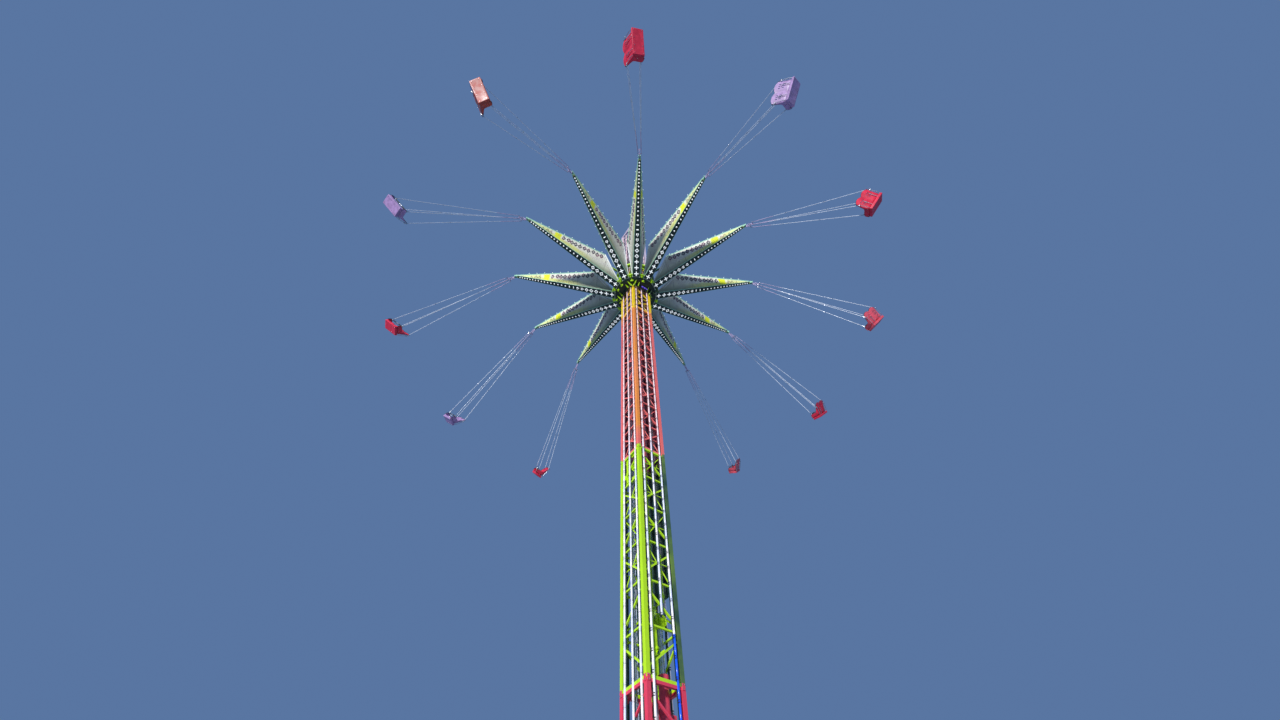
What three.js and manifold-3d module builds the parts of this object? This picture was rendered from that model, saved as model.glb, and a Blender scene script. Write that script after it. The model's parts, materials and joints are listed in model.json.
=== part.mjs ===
// Chair swing ride: a square lattice tower, a carriage that climbs it, and a star of twelve
// tapering arms that turns on the carriage and swings twelve two-seat chairs outwards.
// Millimetres, +Z up. The origin is the centre of the underside of the base plate.
import * as THREE from "three";
import { ConvexGeometry } from "three/addons/geometries/ConvexGeometry.js";
import { mergeVertices } from "three/addons/utils/BufferGeometryUtils.js";
import Module from "manifold-3d";

const wasm = await Module();
wasm.setup();

const gap = 0.3; // between pieces that touch
const bite = 1; // how far a joined shape reaches into its neighbour, or a cutter past a face

// Base
const basePlateHalf = 900;
const basePlateThickness = 50;
const ribReach = 240;
const ribTopReach = 40;
const ribHeight = 600;
const ribThickness = 25;

// Tower
const towerHalf = 570; // half the outside width over the corner posts
const chord = 120; // side of a square corner post
const brace = 50; // side of a diagonal or horizontal bar
const ringBeam = 80; // side of a horizontal bar at the ends of a module
const bayHeight = 1270; // from one horizontal bar to the next, nearly
const diagonalInset = 0.15; // share of a bay that a diagonal stays clear of, at each end
const braceInset = chord / 2; // centre of the bracing behind the outer face
const redTop = 7400;
const limeTop = 15100;
const coralTop = 25400;
const towerTop = 36600;

// Frame and rope wheels on the tower's head
const headRail = 120;
const headBearer = 60;
const headBearerHeight = 160;
const headBearerSpread = 170; // bearers to either side of the wheels
const headStandHalf = 70;
const headStandHeight = 260;
const headAxleHeight = 190;
const headAxleRadius = 45;
const headSheaveRadius = 230;

// Lifting ram inside the tower
const ramX = 250;
const ramY = -130;
const ramSides = 16;
const barrelRadius = 130;
const barrelFootRadius = 190;
const barrelFootHeight = 40;
const barrelCollarRadius = 148;
const barrelCollarHeight = 120;
const barrelBore = 64.6;
const barrelTop = 7750;
const barrelFloor = 500;
const rodRadius = 63;
const rodBottom = 2000;
const sheaveHeight = 9150;
const sheaveRadius = 190;
const sheaveWidth = 60;
const sheaveGroove = 20;
const sheaveSides = 20;
const blockHeight = 420; // fork on the rod
const blockHalf = 90;
const blockCheek = 25;
const blockCheekTop = 110;
const blockFoot = 50;
const blockAxleRadius = 35;
const axleSides = 12;
const axleEnd = 20;

// Carriage, which climbs
const carriageInnerHalf = 615;
const carriageOuterHalf = 675;
const carriageBandHeight = 160;
const carriageDrop = 2230; // underside of the carriage, below the tip
const carriageTopRise = 640;
const carriagePost = 130;
const rollerRadius = 75;
const rollerWidth = 90;
const rollerSides = 8;
const rollerAlongFork = 0.6;
const forkReach = 190;
const forkRoot = 10;
const forkPlate = 16;
const tableRadius = 1080; // round plate that the hub turns on
const tableThickness = 60;

// Star
const arms = 12;
const starTurn = -1.86; // degrees from the front of the tower to the first arm
const tipRadius = 7000; // tower axis to the pin that a chair hangs from
const tipHeight = 29800; // ground to that pin
const hubInner = 985;
const hubOuter = 1125;
const lowerRingHeight = 260;
const upperRingHeight = 180;
const upperRingDrop = 230; // underside of the upper ring, below the tip
const hubFacets = 36;
const hubFacetTurn = starTurn + 180 / hubFacets; // brings a flat of each ring to face every arm
const spokeSide = 90;
const spokePad = 80; // plate at the end of a spoke, against the rung
const spokePadOverlap = 10;

// Arm
const armToeRadius = 1130; // where the underside of an arm starts, at the hub
const armToeDrop = 1990; // underside there, below the tip
const armHeelRadius = 2300; // where the top edge of an arm starts
const armHeelDrop = 100; // top edge there, below the tip
const armEndRadius = 6850;
const armEndHeight = 100;
const toeHalfWidth = 190;
const heelHalfWidth = 500;
const endHalfWidth = 62;
const panelThickness = 12;
const openMargin = 60; // how far the hollow is carried past the open top
const rungSide = 60;
const rungRadii = [2400, 3600, 4800];
const armFaceRadius = hubOuter * Math.cos(Math.PI / hubFacets) + gap;
const armFootHeight = 220;
const armFootDepth = 140;
const armFootInset = 15;
const armFootClear = 5;

// Fork at the tip, and the pin in it
const forkClear = 6; // between the fork and the eye that hangs in it
const forkCheek = 20;
const forkBack = 170;
const forkFront = 45;
const forkTop = 150;
const forkBridge = 55;
const forkSeatBack = 190;
const forkSeatFront = 110;
const forkSeatLow = 5;
const pinRadius = 20;
const pinSides = 8;
const pinLength = 150;

// Sling: hanger frame and ropes, hanging straight down from the pin
const swingAngle = 45.84; // degrees out from hanging
const trailAngle = -5.58; // degrees that the swing plane trails its arm
const eyeHalf = 32;
const eyeThickness = 60;
const hangerTop = 130;
const hangerBottom = 430;
const hangerHalfWidth = 125;
const hangerHalfDepth = 95;
const hangerBar = 40;
const ropeSide = 22;
const ropeInset = 15;

// Chair
const seatDrop = 7430; // pin to the top of the seat pan
const seatHalfWidth = 575;
const seatDepth = 420;
const seatBackHeight = 600;
const seatRecline = 20; // degrees that the chair leans back on its ropes
const seatForward = 90; // brings the middle of the leaning chair under the pin
const seatLean = Math.tan(THREE.MathUtils.degToRad(12));
const shellThickness = 40;
const seatBoxHeight = 110; // moulded box under the seat pan
const armrestHeight = 240;
const armrestNose = 25;
const armrestNoseDrop = 60;
const barSide = 36; // bar across the front of the chair
const barForward = seatDepth / 2 - barSide;
const barRise = armrestHeight + barSide / 2 + gap;
const lipDepth = 40;
const lipHeight = 30;
const dividerHalf = 35;
const dividerTop = 0.6; // its width at the top, as a share
const dividerRearHeight = 90;
const dividerFrontHeight = 60;
const headRestFoot = [90, 500]; // from the middle of the chair
const headRestHead = [160, 430];
const headRestHeight = 95;
const lugRise = 470; // top of the lugs at the back, over the seat pan
const lugHalf = 20;
const lugOut = seatHalfWidth + lugHalf + 14; // centre of a lug from the middle of the chair
const lugBack = -seatDepth / 2 - shellThickness / 2 - lugRise * seatLean;

function solid(geometry) {
  const bare = geometry.index ? geometry.toNonIndexed() : geometry.clone();
  bare.deleteAttribute("normal");
  bare.deleteAttribute("uv");
  const merged = mergeVertices(bare, 1e-3);
  return new wasm.Manifold(new wasm.Mesh({
    numProp: 3,
    vertProperties: new Float32Array(merged.attributes.position.array),
    triVerts: new Uint32Array(merged.index.array),
  }));
}

function join(parts) {
  return parts.reduce((whole, part) => whole.add(part));
}

function geometryOf(body) {
  const mesh = body.getMesh();
  const geometry = new THREE.BufferGeometry();
  geometry.setAttribute("position", new THREE.BufferAttribute(new Float32Array(mesh.vertProperties), 3));
  geometry.setIndex(new THREE.BufferAttribute(new Uint32Array(mesh.triVerts), 1));
  geometry.computeVertexNormals();
  return geometry;
}

// A box from its lowest to its highest corner
function block(x0, y0, z0, x1, y1, z1) {
  const geometry = new THREE.BoxGeometry(x1 - x0, y1 - y0, z1 - z0);
  geometry.translate((x0 + x1) / 2, (y0 + y1) / 2, (z0 + z1) / 2);
  return solid(geometry);
}

function cube([x, y, z], half) {
  return block(x - half, y - half, z - half, x + half, y + half, z + half);
}

// A shape that was made along Z, moved to lie between two points
function between(geometry, from, to) {
  const a = new THREE.Vector3(...from);
  const b = new THREE.Vector3(...to);
  const along = b.clone().sub(a).normalize();
  geometry.applyQuaternion(new THREE.Quaternion().setFromUnitVectors(new THREE.Vector3(0, 0, 1), along));
  const middle = a.add(b).multiplyScalar(0.5);
  geometry.translate(middle.x, middle.y, middle.z);
  return solid(geometry);
}

function distance(from, to) {
  return new THREE.Vector3(...from).distanceTo(new THREE.Vector3(...to));
}

function squareBar(from, to, side) {
  return between(new THREE.BoxGeometry(side, side, distance(from, to)), from, to);
}

function roundBar(from, to, radius, sides) {
  const geometry = new THREE.CylinderGeometry(radius, radius, distance(from, to), sides);
  geometry.rotateX(Math.PI / 2);
  return between(geometry, from, to);
}

// A turned shape about Z, from its radii and heights
function turned(profile, sides) {
  const points = profile.map(([radius, height]) => new THREE.Vector2(radius, height));
  const geometry = new THREE.LatheGeometry(points, sides);
  geometry.rotateX(Math.PI / 2);
  return solid(geometry);
}

function ring(inner, outer, low, high, sides) {
  return turned([[inner, low], [outer, low], [outer, high], [inner, high], [inner, low]], sides);
}

// A flat-sided solid around a set of corners
function hull(corners) {
  return solid(new ConvexGeometry(corners.map((corner) => new THREE.Vector3(...corner))));
}

function finish(color, roughness, metalness) {
  return new THREE.MeshStandardMaterial({ color, roughness, metalness });
}

const paint = {
  red: finish(0xc93049, 0.45, 0.2),
  lime: finish(0x86cf1c, 0.45, 0.2),
  darkGreen: finish(0x14332c, 0.45, 0.2),
  coral: finish(0xe8533f, 0.45, 0.2),
  yellow: finish(0xf0cf1e, 0.45, 0.2),
  panel: finish(0xc9cdb4, 0.5, 0.1),
  steel: finish(0xb9bcc4, 0.35, 0.8),
  chrome: finish(0xdcdfe4, 0.12, 1),
  shellRed: finish(0xc41f34, 0.35, 0),
  shellPink: finish(0xd94352, 0.35, 0),
  shellLavender: finish(0x9b86c4, 0.35, 0),
  shellOrange: finish(0xd9602c, 0.35, 0),
};

const shellPaints = ["shellLavender", "shellRed", "shellPink", "shellRed", "shellPink", "shellLavender",
  "shellRed", "shellLavender", "shellRed", "shellLavender", "shellOrange", "shellRed"];

const ride = new THREE.Group();

function place(name, body, material, parent = ride) {
  const mesh = new THREE.Mesh(geometryOf(body), material);
  mesh.name = name;
  parent.add(mesh);
  return mesh;
}

function basePlate() {
  return block(-basePlateHalf, -basePlateHalf, 0, basePlateHalf, basePlateHalf, basePlateThickness);
}

// Two triangular ribs outside each corner post, welded to the base plate
function baseRibs() {
  const parts = [];
  const outside = towerHalf + gap;
  const low = basePlateThickness - bite;
  const near = towerHalf - chord / 2 - ribThickness / 2;
  const outline = [[outside, low], [outside + ribReach, low], [outside, low + ribHeight],
    [outside + ribTopReach, low + ribHeight]];
  const across = [near, near + ribThickness];
  for (let corner = 0; corner < 4; corner += 1) {
    const onX = hull(across.flatMap((y) => outline.map(([x, z]) => [x, y, z])));
    const onY = hull(across.flatMap((x) => outline.map(([y, z]) => [x, y, z])));
    parts.push(onX.add(onY).rotate([0, 0, 90 * corner]));
  }
  return join(parts);
}

// One side of one tower module, on -Y: the left corner post, and the bars that reach across to
// the next side's post. The diagonals run the other way on every second side.
function towerSide(bottom, top, side) {
  const inner = towerHalf - chord;
  const reach = towerHalf - chord / 2;
  const middle = -towerHalf + braceInset;
  const bays = Math.round((top - bottom) / bayHeight);
  const bay = (top - bottom - ringBeam) / bays;
  const level = (z, width) => block(-inner - bite, middle - width / 2, z - width / 2,
    inner, middle + width / 2, z + width / 2);
  const bars = [level(bottom + gap + ringBeam / 2, ringBeam), level(top - ringBeam / 2, ringBeam)];
  for (let i = 0; i < bays; i += 1) {
    const low = bottom + ringBeam / 2 + i * bay;
    const lean = (i + side) % 2 === 0 ? 1 : -1;
    const inset = bay * diagonalInset;
    bars.push(squareBar([-lean * reach, middle, low + inset],
      [lean * reach, middle, low + bay - inset], brace));
    if (i > 0) {
      bars.push(level(low, brace));
    }
  }
  const span = block(-inner - bite, -towerHalf, bottom + gap, inner - gap, -inner, top);
  const post = block(-towerHalf, -towerHalf, bottom + gap, -inner, -inner, top);
  return join(bars).intersect(span).add(post);
}

function towerModule(name, bottom, top, material) {
  for (let side = 0; side < 4; side += 1) {
    const mesh = place(`${name}_face_${side + 1}`, towerSide(bottom, top, side), material);
    mesh.rotation.z = (side * Math.PI) / 2;
  }
}

// A grooved rope wheel on an axis along Y
function ropeWheel([x, y, z], radius, width) {
  const half = width / 2;
  const groove = radius - sheaveGroove;
  const profile = [[0, -half], [radius, -half], [groove, -half / 3], [groove, half / 3],
    [radius, half], [0, half]];
  return turned(profile, sheaveSides).rotate([90, 0, 0]).translate([x, y, z]);
}

// Frame across the tower's head with its rope wheels
function towerHead() {
  const low = towerTop + gap;
  const wall = towerHalf - headRail;
  const rails = block(-towerHalf, -towerHalf, low, towerHalf, towerHalf, low + headRail)
    .subtract(block(-wall, -wall, low - bite, wall, wall, low + headRail + bite));
  const parts = [rails];
  const axle = low + headAxleHeight;
  const middle = ramX - headSheaveRadius + sheaveGroove;
  const wheelXs = [-1, 1].map((side) => middle + side * (sheaveRadius - sheaveGroove));
  for (const side of [-1, 1]) {
    const y = ramY + side * headBearerSpread;
    const near = y - headBearer / 2;
    const far = y + headBearer / 2;
    parts.push(block(-towerHalf, near, low, towerHalf, far, low + headBearerHeight));
    for (const x of wheelXs) {
      parts.push(block(x - headStandHalf, near, low, x + headStandHalf, far, low + headStandHeight));
    }
  }
  for (const x of wheelXs) {
    parts.push(ropeWheel([x, ramY, axle], headSheaveRadius, sheaveWidth * 2));
    parts.push(roundBar([x, ramY - headBearerSpread, axle], [x, ramY + headBearerSpread, axle],
      headAxleRadius, axleSides));
  }
  return join(parts);
}

// Barrel of the lifting ram, open at the top where the rod slides in it
function ramBarrel() {
  const low = basePlateThickness + gap;
  const foot = low + barrelFootHeight;
  const collar = barrelTop - barrelCollarHeight;
  const profile = [[0, low], [barrelFootRadius, low], [barrelFootRadius, foot], [barrelRadius, foot],
    [barrelRadius, collar], [barrelCollarRadius, collar], [barrelCollarRadius, barrelTop],
    [barrelBore, barrelTop], [barrelBore, barrelFloor], [0, barrelFloor]];
  return turned(profile, ramSides).translate([ramX, ramY, 0]);
}

// Rod of the ram, turned so that its edges stand against the flats of the bore
function ramRod() {
  return roundBar([0, 0, rodBottom], [0, 0, sheaveHeight - blockHeight / 2], rodRadius, ramSides)
    .rotate([0, 0, 180 / ramSides]).translate([ramX, ramY, 0]);
}

// Fork on the rod, with two rope wheels side by side
function ramBlock() {
  const low = sheaveHeight - blockHeight / 2 + gap;
  const outer = sheaveWidth + blockCheek;
  const left = ramX - blockHalf;
  const right = ramX + blockHalf;
  const parts = [block(left, ramY - outer, low, right, ramY + outer, low + blockFoot)];
  for (const side of [-1, 1]) {
    const y = ramY + side * (outer - blockCheek / 2);
    parts.push(block(left, y - blockCheek / 2, low, right, y + blockCheek / 2, sheaveHeight + blockCheekTop));
    parts.push(ropeWheel([ramX, ramY + (side * sheaveWidth) / 2, sheaveHeight], sheaveRadius, sheaveWidth));
  }
  const axle = outer + axleEnd;
  parts.push(roundBar([ramX, ramY - axle, sheaveHeight], [ramX, ramY + axle, sheaveHeight],
    blockAxleRadius, axleSides));
  return join(parts);
}

function squareBand(low, high) {
  const outer = carriageOuterHalf;
  const inner = carriageInnerHalf;
  return block(-outer, -outer, low, outer, outer, high)
    .subtract(block(-inner, -inner, low - bite, inner, inner, high + bite));
}

// Two rollers that run on the two outer faces of the corner post at -X -Y, in forks that stand
// out of the band from the height "root" to the height "end"
function cornerRollers(root, end) {
  const across = -towerHalf + chord / 2;
  const axle = -towerHalf - gap - rollerRadius;
  const z = root + (end - root) * rollerAlongFork;
  const half = rollerWidth / 2;
  const parts = [roundBar([across - half, axle, z], [across + half, axle, z], rollerRadius, rollerSides)];
  for (const side of [-1, 1]) {
    const x = across + side * (half + forkPlate / 2 - bite);
    parts.push(block(x - forkPlate / 2, -carriageOuterHalf, Math.min(root, end),
      x + forkPlate / 2, -carriageInnerHalf, Math.max(root, end)));
  }
  const onY = join(parts);
  return onY.add(onY.mirror([1, -1, 0]));
}

// Square sleeve frame that climbs the tower
function carriageFrame() {
  const low = tipHeight - carriageDrop;
  const high = tipHeight + carriageTopRise;
  const inner = carriageInnerHalf;
  const outer = carriageOuterHalf;
  const bandLows = [low, (low + high) / 2, high - carriageBandHeight];
  const parts = bandLows.map((z) => squareBand(z, z + carriageBandHeight));
  for (let corner = 0; corner < 4; corner += 1) {
    const post = block(-outer, -outer, low, -outer + carriagePost, -outer + carriagePost, high)
      .subtract(block(-inner, -inner, low - bite, 0, 0, high + bite));
    const lowerRollers = cornerRollers(low + forkRoot, low - forkReach);
    const upperRollers = cornerRollers(high - forkRoot, high + forkReach);
    parts.push(join([post, lowerRollers, upperRollers]).rotate([0, 0, 90 * corner]));
  }
  return join(parts);
}

// Round table around the carriage that the hub turns on
function carriageTable() {
  const low = tipHeight - carriageDrop + carriageBandHeight;
  const high = low + tableThickness;
  const hole = carriageInnerHalf + bite;
  return roundBar([0, 0, low], [0, 0, high], tableRadius, hubFacets)
    .subtract(block(-hole, -hole, low - bite, hole, hole, high + bite));
}

function armAngle(i) {
  return starTurn - 90 + (360 / arms) * i;
}

function hubLowerRing() {
  const low = tipHeight - carriageDrop + carriageBandHeight + tableThickness + gap;
  return ring(hubInner, hubOuter, low, low + lowerRingHeight, hubFacets).rotate([0, 0, hubFacetTurn]);
}

// Upper ring with a spoke out to the first rung of each arm
function hubUpperRing() {
  const low = tipHeight - upperRingDrop;
  const high = low + upperRingHeight;
  const parts = [ring(hubInner, hubOuter, low, high, hubFacets).rotate([0, 0, hubFacetTurn])];
  const root = [hubOuter - spokeSide, 0, (low + high) / 2];
  const face = rungRadii[0] - gap;
  const head = face - spokePad;
  const top = tipHeight + topAt(rungRadii[0]);
  for (let i = 0; i < arms; i += 1) {
    const spoke = squareBar(root, [head + spokePadOverlap, 0, top - rungSide / 2], spokeSide);
    const pad = block(head, -spokePad, top - spokePad, face, spokePad, top);
    parts.push(spoke.add(pad).rotate([0, 0, armAngle(i)]));
  }
  return join(parts);
}

// Height of an arm's top edge over the tip, at a distance from the tower axis
function topAt(r) {
  const share = (r - armHeelRadius) / (armEndRadius - armHeelRadius);
  return -armHeelDrop + (armEndHeight + armHeelDrop) * share;
}

// Half the width of an arm's open top there
function halfAt(r) {
  const share = (r - armHeelRadius) / (armEndRadius - armHeelRadius);
  return heelHalfWidth + (endHalfWidth - heelHalfWidth) * share;
}

// Corners of the arm's tapering trough. The inner set opens it at the top and towards the hub.
function armCorners(inset, open) {
  const corners = [];
  for (const side of [-1, 1]) {
    corners.push([armToeRadius - open, side * (toeHalfWidth - inset), -armToeDrop + inset - open * 0.2]);
    corners.push([armHeelRadius - open, side * (heelHalfWidth - inset), open - armHeelDrop]);
    corners.push([armEndRadius - inset, side * (endHalfWidth - inset), inset]);
    corners.push([armEndRadius - inset, side * (endHalfWidth - inset), armEndHeight + open]);
  }
  return corners;
}

// Solid foot of an arm, with a flat that meets the lower ring
function armFoot() {
  const low = -armToeDrop + armFootClear;
  const high = low + armFootHeight;
  const far = armFaceRadius + armFootDepth;
  const rise = (armFootDepth * armToeDrop) / (armEndRadius - armToeRadius);
  const sides = [-1, 1].map((side) => side * (toeHalfWidth - armFootInset));
  return hull(sides.flatMap((y) => [[armFaceRadius, y, low], [armFaceRadius, y, high],
    [far, y, high], [far, y, low + rise]]));
}

// Fork and pin at the end of an arm, turned to the plane that its chair swings in. The pin's
// edges stand against the flats of the bore that hangs on it.
function tipFork() {
  const inner = eyeThickness / 2 + forkClear;
  const outer = inner + forkCheek;
  const bridge = block(-forkBack, -outer, forkTop - forkBridge, forkFront, outer, forkTop);
  const seat = block(-forkSeatBack, -endHalfWidth, forkSeatLow, -forkSeatFront, endHalfWidth, armEndHeight);
  const pin = roundBar([0, -pinLength / 2, 0], [0, pinLength / 2, 0], pinRadius, pinSides)
    .rotate([0, -swingAngle - 180 / pinSides, 0]);
  const parts = [bridge, seat, pin];
  for (const side of [-1, 1]) {
    const y = side * (inner + forkCheek / 2);
    parts.push(block(-forkBack, y - forkCheek / 2, -forkFront, forkFront, y + forkCheek / 2, forkTop));
  }
  return join(parts).rotate([0, 0, trailAngle]).translate([tipRadius, 0, 0]);
}

// Tapering arm along +X: a trough of panels with rungs across its top, and the pin fork at its
// tip. Its own origin is the tower axis at the height of the pin.
function arm() {
  const trough = hull(armCorners(0, 0)).subtract(hull(armCorners(panelThickness, openMargin)));
  const parts = [trough, armFoot(), tipFork()];
  for (const r of rungRadii) {
    const reach = halfAt(r) - panelThickness / 2;
    const low = topAt(r) - rungSide;
    parts.push(block(r, -reach, low, r + rungSide, reach, low + rungSide));
  }
  return join(parts);
}

// Where a point of the upright chair comes to, leaning back under the pin
function chairPoint(point) {
  const leant = new THREE.Vector3(...point).applyAxisAngle(
    new THREE.Vector3(1, 0, 0), THREE.MathUtils.degToRad(seatRecline));
  return [leant.x, leant.y + seatForward, leant.z - seatDrop];
}

function leanBack(piece) {
  return piece.rotate([seatRecline, 0, 0]).translate([0, seatForward, -seatDrop]);
}

// Hanger frame, four ropes and the front bar of one chair, hanging from the pin at the origin.
// +X is outwards and +Y the way the chair travels.
function sling() {
  const bore = (pinRadius + gap) / Math.cos(Math.PI / pinSides);
  const w = hangerHalfWidth;
  const d = hangerHalfDepth;
  const eye = block(-eyeHalf, -eyeThickness / 2, -hangerTop, eyeHalf, eyeThickness / 2, eyeHalf)
    .subtract(roundBar([0, -eyeThickness, 0], [0, eyeThickness, 0], bore, pinSides));
  const parts = [eye];
  for (const drop of [hangerTop, hangerBottom]) {
    parts.push(squareBar([-w, 0, -drop], [w, 0, -drop], hangerBar));
  }
  for (const side of [-1, 1]) {
    const frontEnd = [side * (seatHalfWidth - ropeInset), barForward, barRise];
    const rearEnd = [side * lugOut, lugBack, lugRise + gap + lugHalf];
    parts.push(squareBar([side * w, 0, -hangerTop + hangerBar / 2],
      [side * w, 0, -hangerBottom - hangerBar / 2], hangerBar));
    parts.push(squareBar([side * w, -d, -hangerBottom], [side * w, d, -hangerBottom], hangerBar));
    parts.push(squareBar([side * w, d - ropeInset, -hangerBottom], chairPoint(frontEnd), ropeSide));
    parts.push(squareBar([side * w, -d + ropeInset, -hangerBottom], chairPoint(rearEnd), ropeSide));
    parts.push(leanBack(cube(rearEnd, lugHalf)));
  }
  parts.push(leanBack(squareBar([-seatHalfWidth, barForward, barRise],
    [seatHalfWidth, barForward, barRise], barSide)));
  return join(parts);
}

// Side of the chair with its armrest, on one side
function chairSide(side) {
  const back = -seatDepth / 2;
  const front = seatDepth / 2;
  const t = shellThickness;
  const outline = [[back - t, -seatBoxHeight], [front, -seatBoxHeight],
    [front + armrestNose, armrestHeight - armrestNoseDrop],
    [front, armrestHeight], [front - 2 * barSide, armrestHeight],
    [back - armrestHeight * seatLean - t / 2, armrestHeight]];
  return hull([seatHalfWidth - t, seatHalfWidth].flatMap((x) => outline.map(([y, z]) => [side * x, y, z])));
}

// Lug on the back of the chair that a rear rope ends over
function chairLug(side) {
  const ends = [side * (seatHalfWidth - shellThickness), side * (lugOut + lugHalf)];
  return block(Math.min(...ends), lugBack - lugHalf, lugRise - 2 * lugHalf,
    Math.max(...ends), lugBack + lugHalf, lugRise);
}

function headRest(side) {
  const edges = [[headRestFoot, seatBackHeight - 2 * bite], [headRestHead, seatBackHeight + headRestHeight]];
  const faces = [-shellThickness + bite, -bite];
  return hull(edges.flatMap(([xs, z]) => xs.flatMap((x) => faces.map((y) => [
    side * x, y - seatDepth / 2 - z * seatLean, z]))));
}

// Two-seat bucket shell, upright, with its origin at the top of the seat pan
function chairShell() {
  const half = seatHalfWidth;
  const t = shellThickness;
  const back = -seatDepth / 2;
  const front = seatDepth / 2;
  const box = block(-half, back - t, -seatBoxHeight, half, front, 0);
  const lip = block(-half, front - lipDepth, -t, half, front, lipHeight);
  const backrest = hull([-half, half].flatMap((x) => [-t, 0].flatMap((y) => [
    [x, back + y, -t], [x, back + y - seatBackHeight * seatLean, seatBackHeight]])));
  const divider = hull([-dividerHalf, dividerHalf].flatMap((x) => [
    [x, back, -t / 2], [x, front - lipDepth, -t / 2], [x * dividerTop, back - t / 2, dividerRearHeight],
    [x * dividerTop, front - 3 * lipDepth, dividerFrontHeight]]));
  const pairs = [-1, 1].flatMap((side) => [chairSide(side), chairLug(side), headRest(side)]);
  return join([box, lip, backrest, divider, ...pairs]);
}

function label(i) {
  return String(i + 1).padStart(2, "0");
}

function addArm(i) {
  const atHub = new THREE.Group();
  atHub.rotation.z = THREE.MathUtils.degToRad(armAngle(i));
  atHub.position.z = tipHeight;
  ride.add(atHub);
  place(`arm_${label(i)}`, arm(), paint.panel, atHub);
  return atHub;
}

// One chair in its sling, swung out on the pin of an arm
function addChair(atHub, i) {
  const atPin = new THREE.Group();
  atPin.position.x = tipRadius;
  atPin.rotation.z = THREE.MathUtils.degToRad(trailAngle);
  const swung = new THREE.Group();
  swung.rotation.y = THREE.MathUtils.degToRad(-swingAngle);
  atHub.add(atPin);
  atPin.add(swung);
  const leaning = new THREE.Group();
  leaning.position.set(0, seatForward, -seatDrop);
  leaning.rotation.x = THREE.MathUtils.degToRad(seatRecline);
  swung.add(leaning);
  place(`sling_${label(i)}`, sling(), paint.steel, swung);
  place(`chair_${label(i)}`, chairShell(), paint[shellPaints[i]], leaning);
}

place("base_plate", basePlate().add(baseRibs()), paint.red);
towerModule("red_module", basePlateThickness, redTop, paint.red);
towerModule("lime_module", redTop, limeTop, paint.lime);
towerModule("coral_module", limeTop, coralTop, paint.coral);
towerModule("yellow_module", coralTop, towerTop, paint.yellow);
place("tower_head", towerHead(), paint.yellow);
place("ram_barrel", ramBarrel(), paint.red);
place("ram_rod", ramRod(), paint.chrome);
place("ram_block", ramBlock(), paint.lime);
place("carriage_frame", carriageFrame().add(carriageTable()), paint.lime);
place("hub_lower_ring", hubLowerRing(), paint.darkGreen);
place("hub_upper_ring", hubUpperRing(), paint.lime);
for (let i = 0; i < arms; i += 1) {
  addChair(addArm(i), i);
}

export default ride;
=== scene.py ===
import json
import math

import bmesh
import bpy
from mathutils import Matrix, Vector


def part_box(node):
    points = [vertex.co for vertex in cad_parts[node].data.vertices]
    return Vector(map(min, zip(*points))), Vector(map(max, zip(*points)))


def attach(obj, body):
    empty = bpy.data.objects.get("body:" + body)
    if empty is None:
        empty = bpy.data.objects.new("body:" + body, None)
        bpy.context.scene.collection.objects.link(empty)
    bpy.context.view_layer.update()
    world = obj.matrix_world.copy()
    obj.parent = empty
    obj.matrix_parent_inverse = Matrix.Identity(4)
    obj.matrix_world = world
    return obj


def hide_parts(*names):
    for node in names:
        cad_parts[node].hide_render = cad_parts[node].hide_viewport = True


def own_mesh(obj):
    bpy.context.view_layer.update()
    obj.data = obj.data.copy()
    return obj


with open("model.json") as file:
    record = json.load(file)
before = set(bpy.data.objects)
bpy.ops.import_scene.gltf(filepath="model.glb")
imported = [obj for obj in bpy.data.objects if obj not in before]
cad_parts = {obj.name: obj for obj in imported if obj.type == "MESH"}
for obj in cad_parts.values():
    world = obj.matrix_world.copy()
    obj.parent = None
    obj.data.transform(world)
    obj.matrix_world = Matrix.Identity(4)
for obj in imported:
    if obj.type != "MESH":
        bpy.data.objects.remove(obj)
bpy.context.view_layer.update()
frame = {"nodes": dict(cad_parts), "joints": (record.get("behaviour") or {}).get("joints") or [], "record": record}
cadNodes = frame["nodes"]
joints = {joint["name"]: joint for joint in frame["joints"]}
print("frame loaded:", len(cadNodes), "nodes")

# the ride's own places, read from the frame
armCount = 12
armEvery = 360 / armCount
tipHeight = joints["star_turn"]["pos_m"][2]
firstTip = Vector(joints["swing_01_hinge"]["pos_m"])
tipRadius = math.hypot(firstTip.x, firstTip.y)
modules = ["red", "lime", "coral", "yellow"]
moduleBoxes = {name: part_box(f"{name}_module_face_1") for name in modules}
moduleEnds = {name: (low.z, high.z) for name, (low, high) in moduleBoxes.items()}
towerHalf = -moduleBoxes["red"][0].y  # half the width over the corner posts
towerTop = moduleEnds["yellow"][1]
plateTop = moduleEnds["red"][0]
carriageLow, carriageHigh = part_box("carriage_frame")
hubLow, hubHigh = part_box("hub_lower_ring")
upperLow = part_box("hub_upper_ring")[0].z
blockLow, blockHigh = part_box("ram_block")
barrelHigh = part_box("ram_barrel")[1].z
ramX, ramY = (blockLow.x + blockHigh.x) / 2, (blockLow.y + blockHigh.y) / 2
bayHigh = 1.27  # height of one bay of the lattice
restGap = 0.0003  # left between pieces that rest on each other
# corners of one arm's side: distance from the axis, half the arm's width there, height from the pins
armShape = {"toe": (1.13, 0.190, -1.99), "heel": (2.30, 0.5, -0.10), "end": (6.85, 0.062, 0.0),
            "endTop": (6.85, 0.062, 0.10)}


def at(x, y, z):
    return Matrix.Translation((x, y, z))


def turnX(degrees):
    return Matrix.Rotation(math.radians(degrees), 4, "X")


def turnY(degrees):
    return Matrix.Rotation(math.radians(degrees), 4, "Y")


def turnZ(degrees):
    return Matrix.Rotation(math.radians(degrees), 4, "Z")


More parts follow.
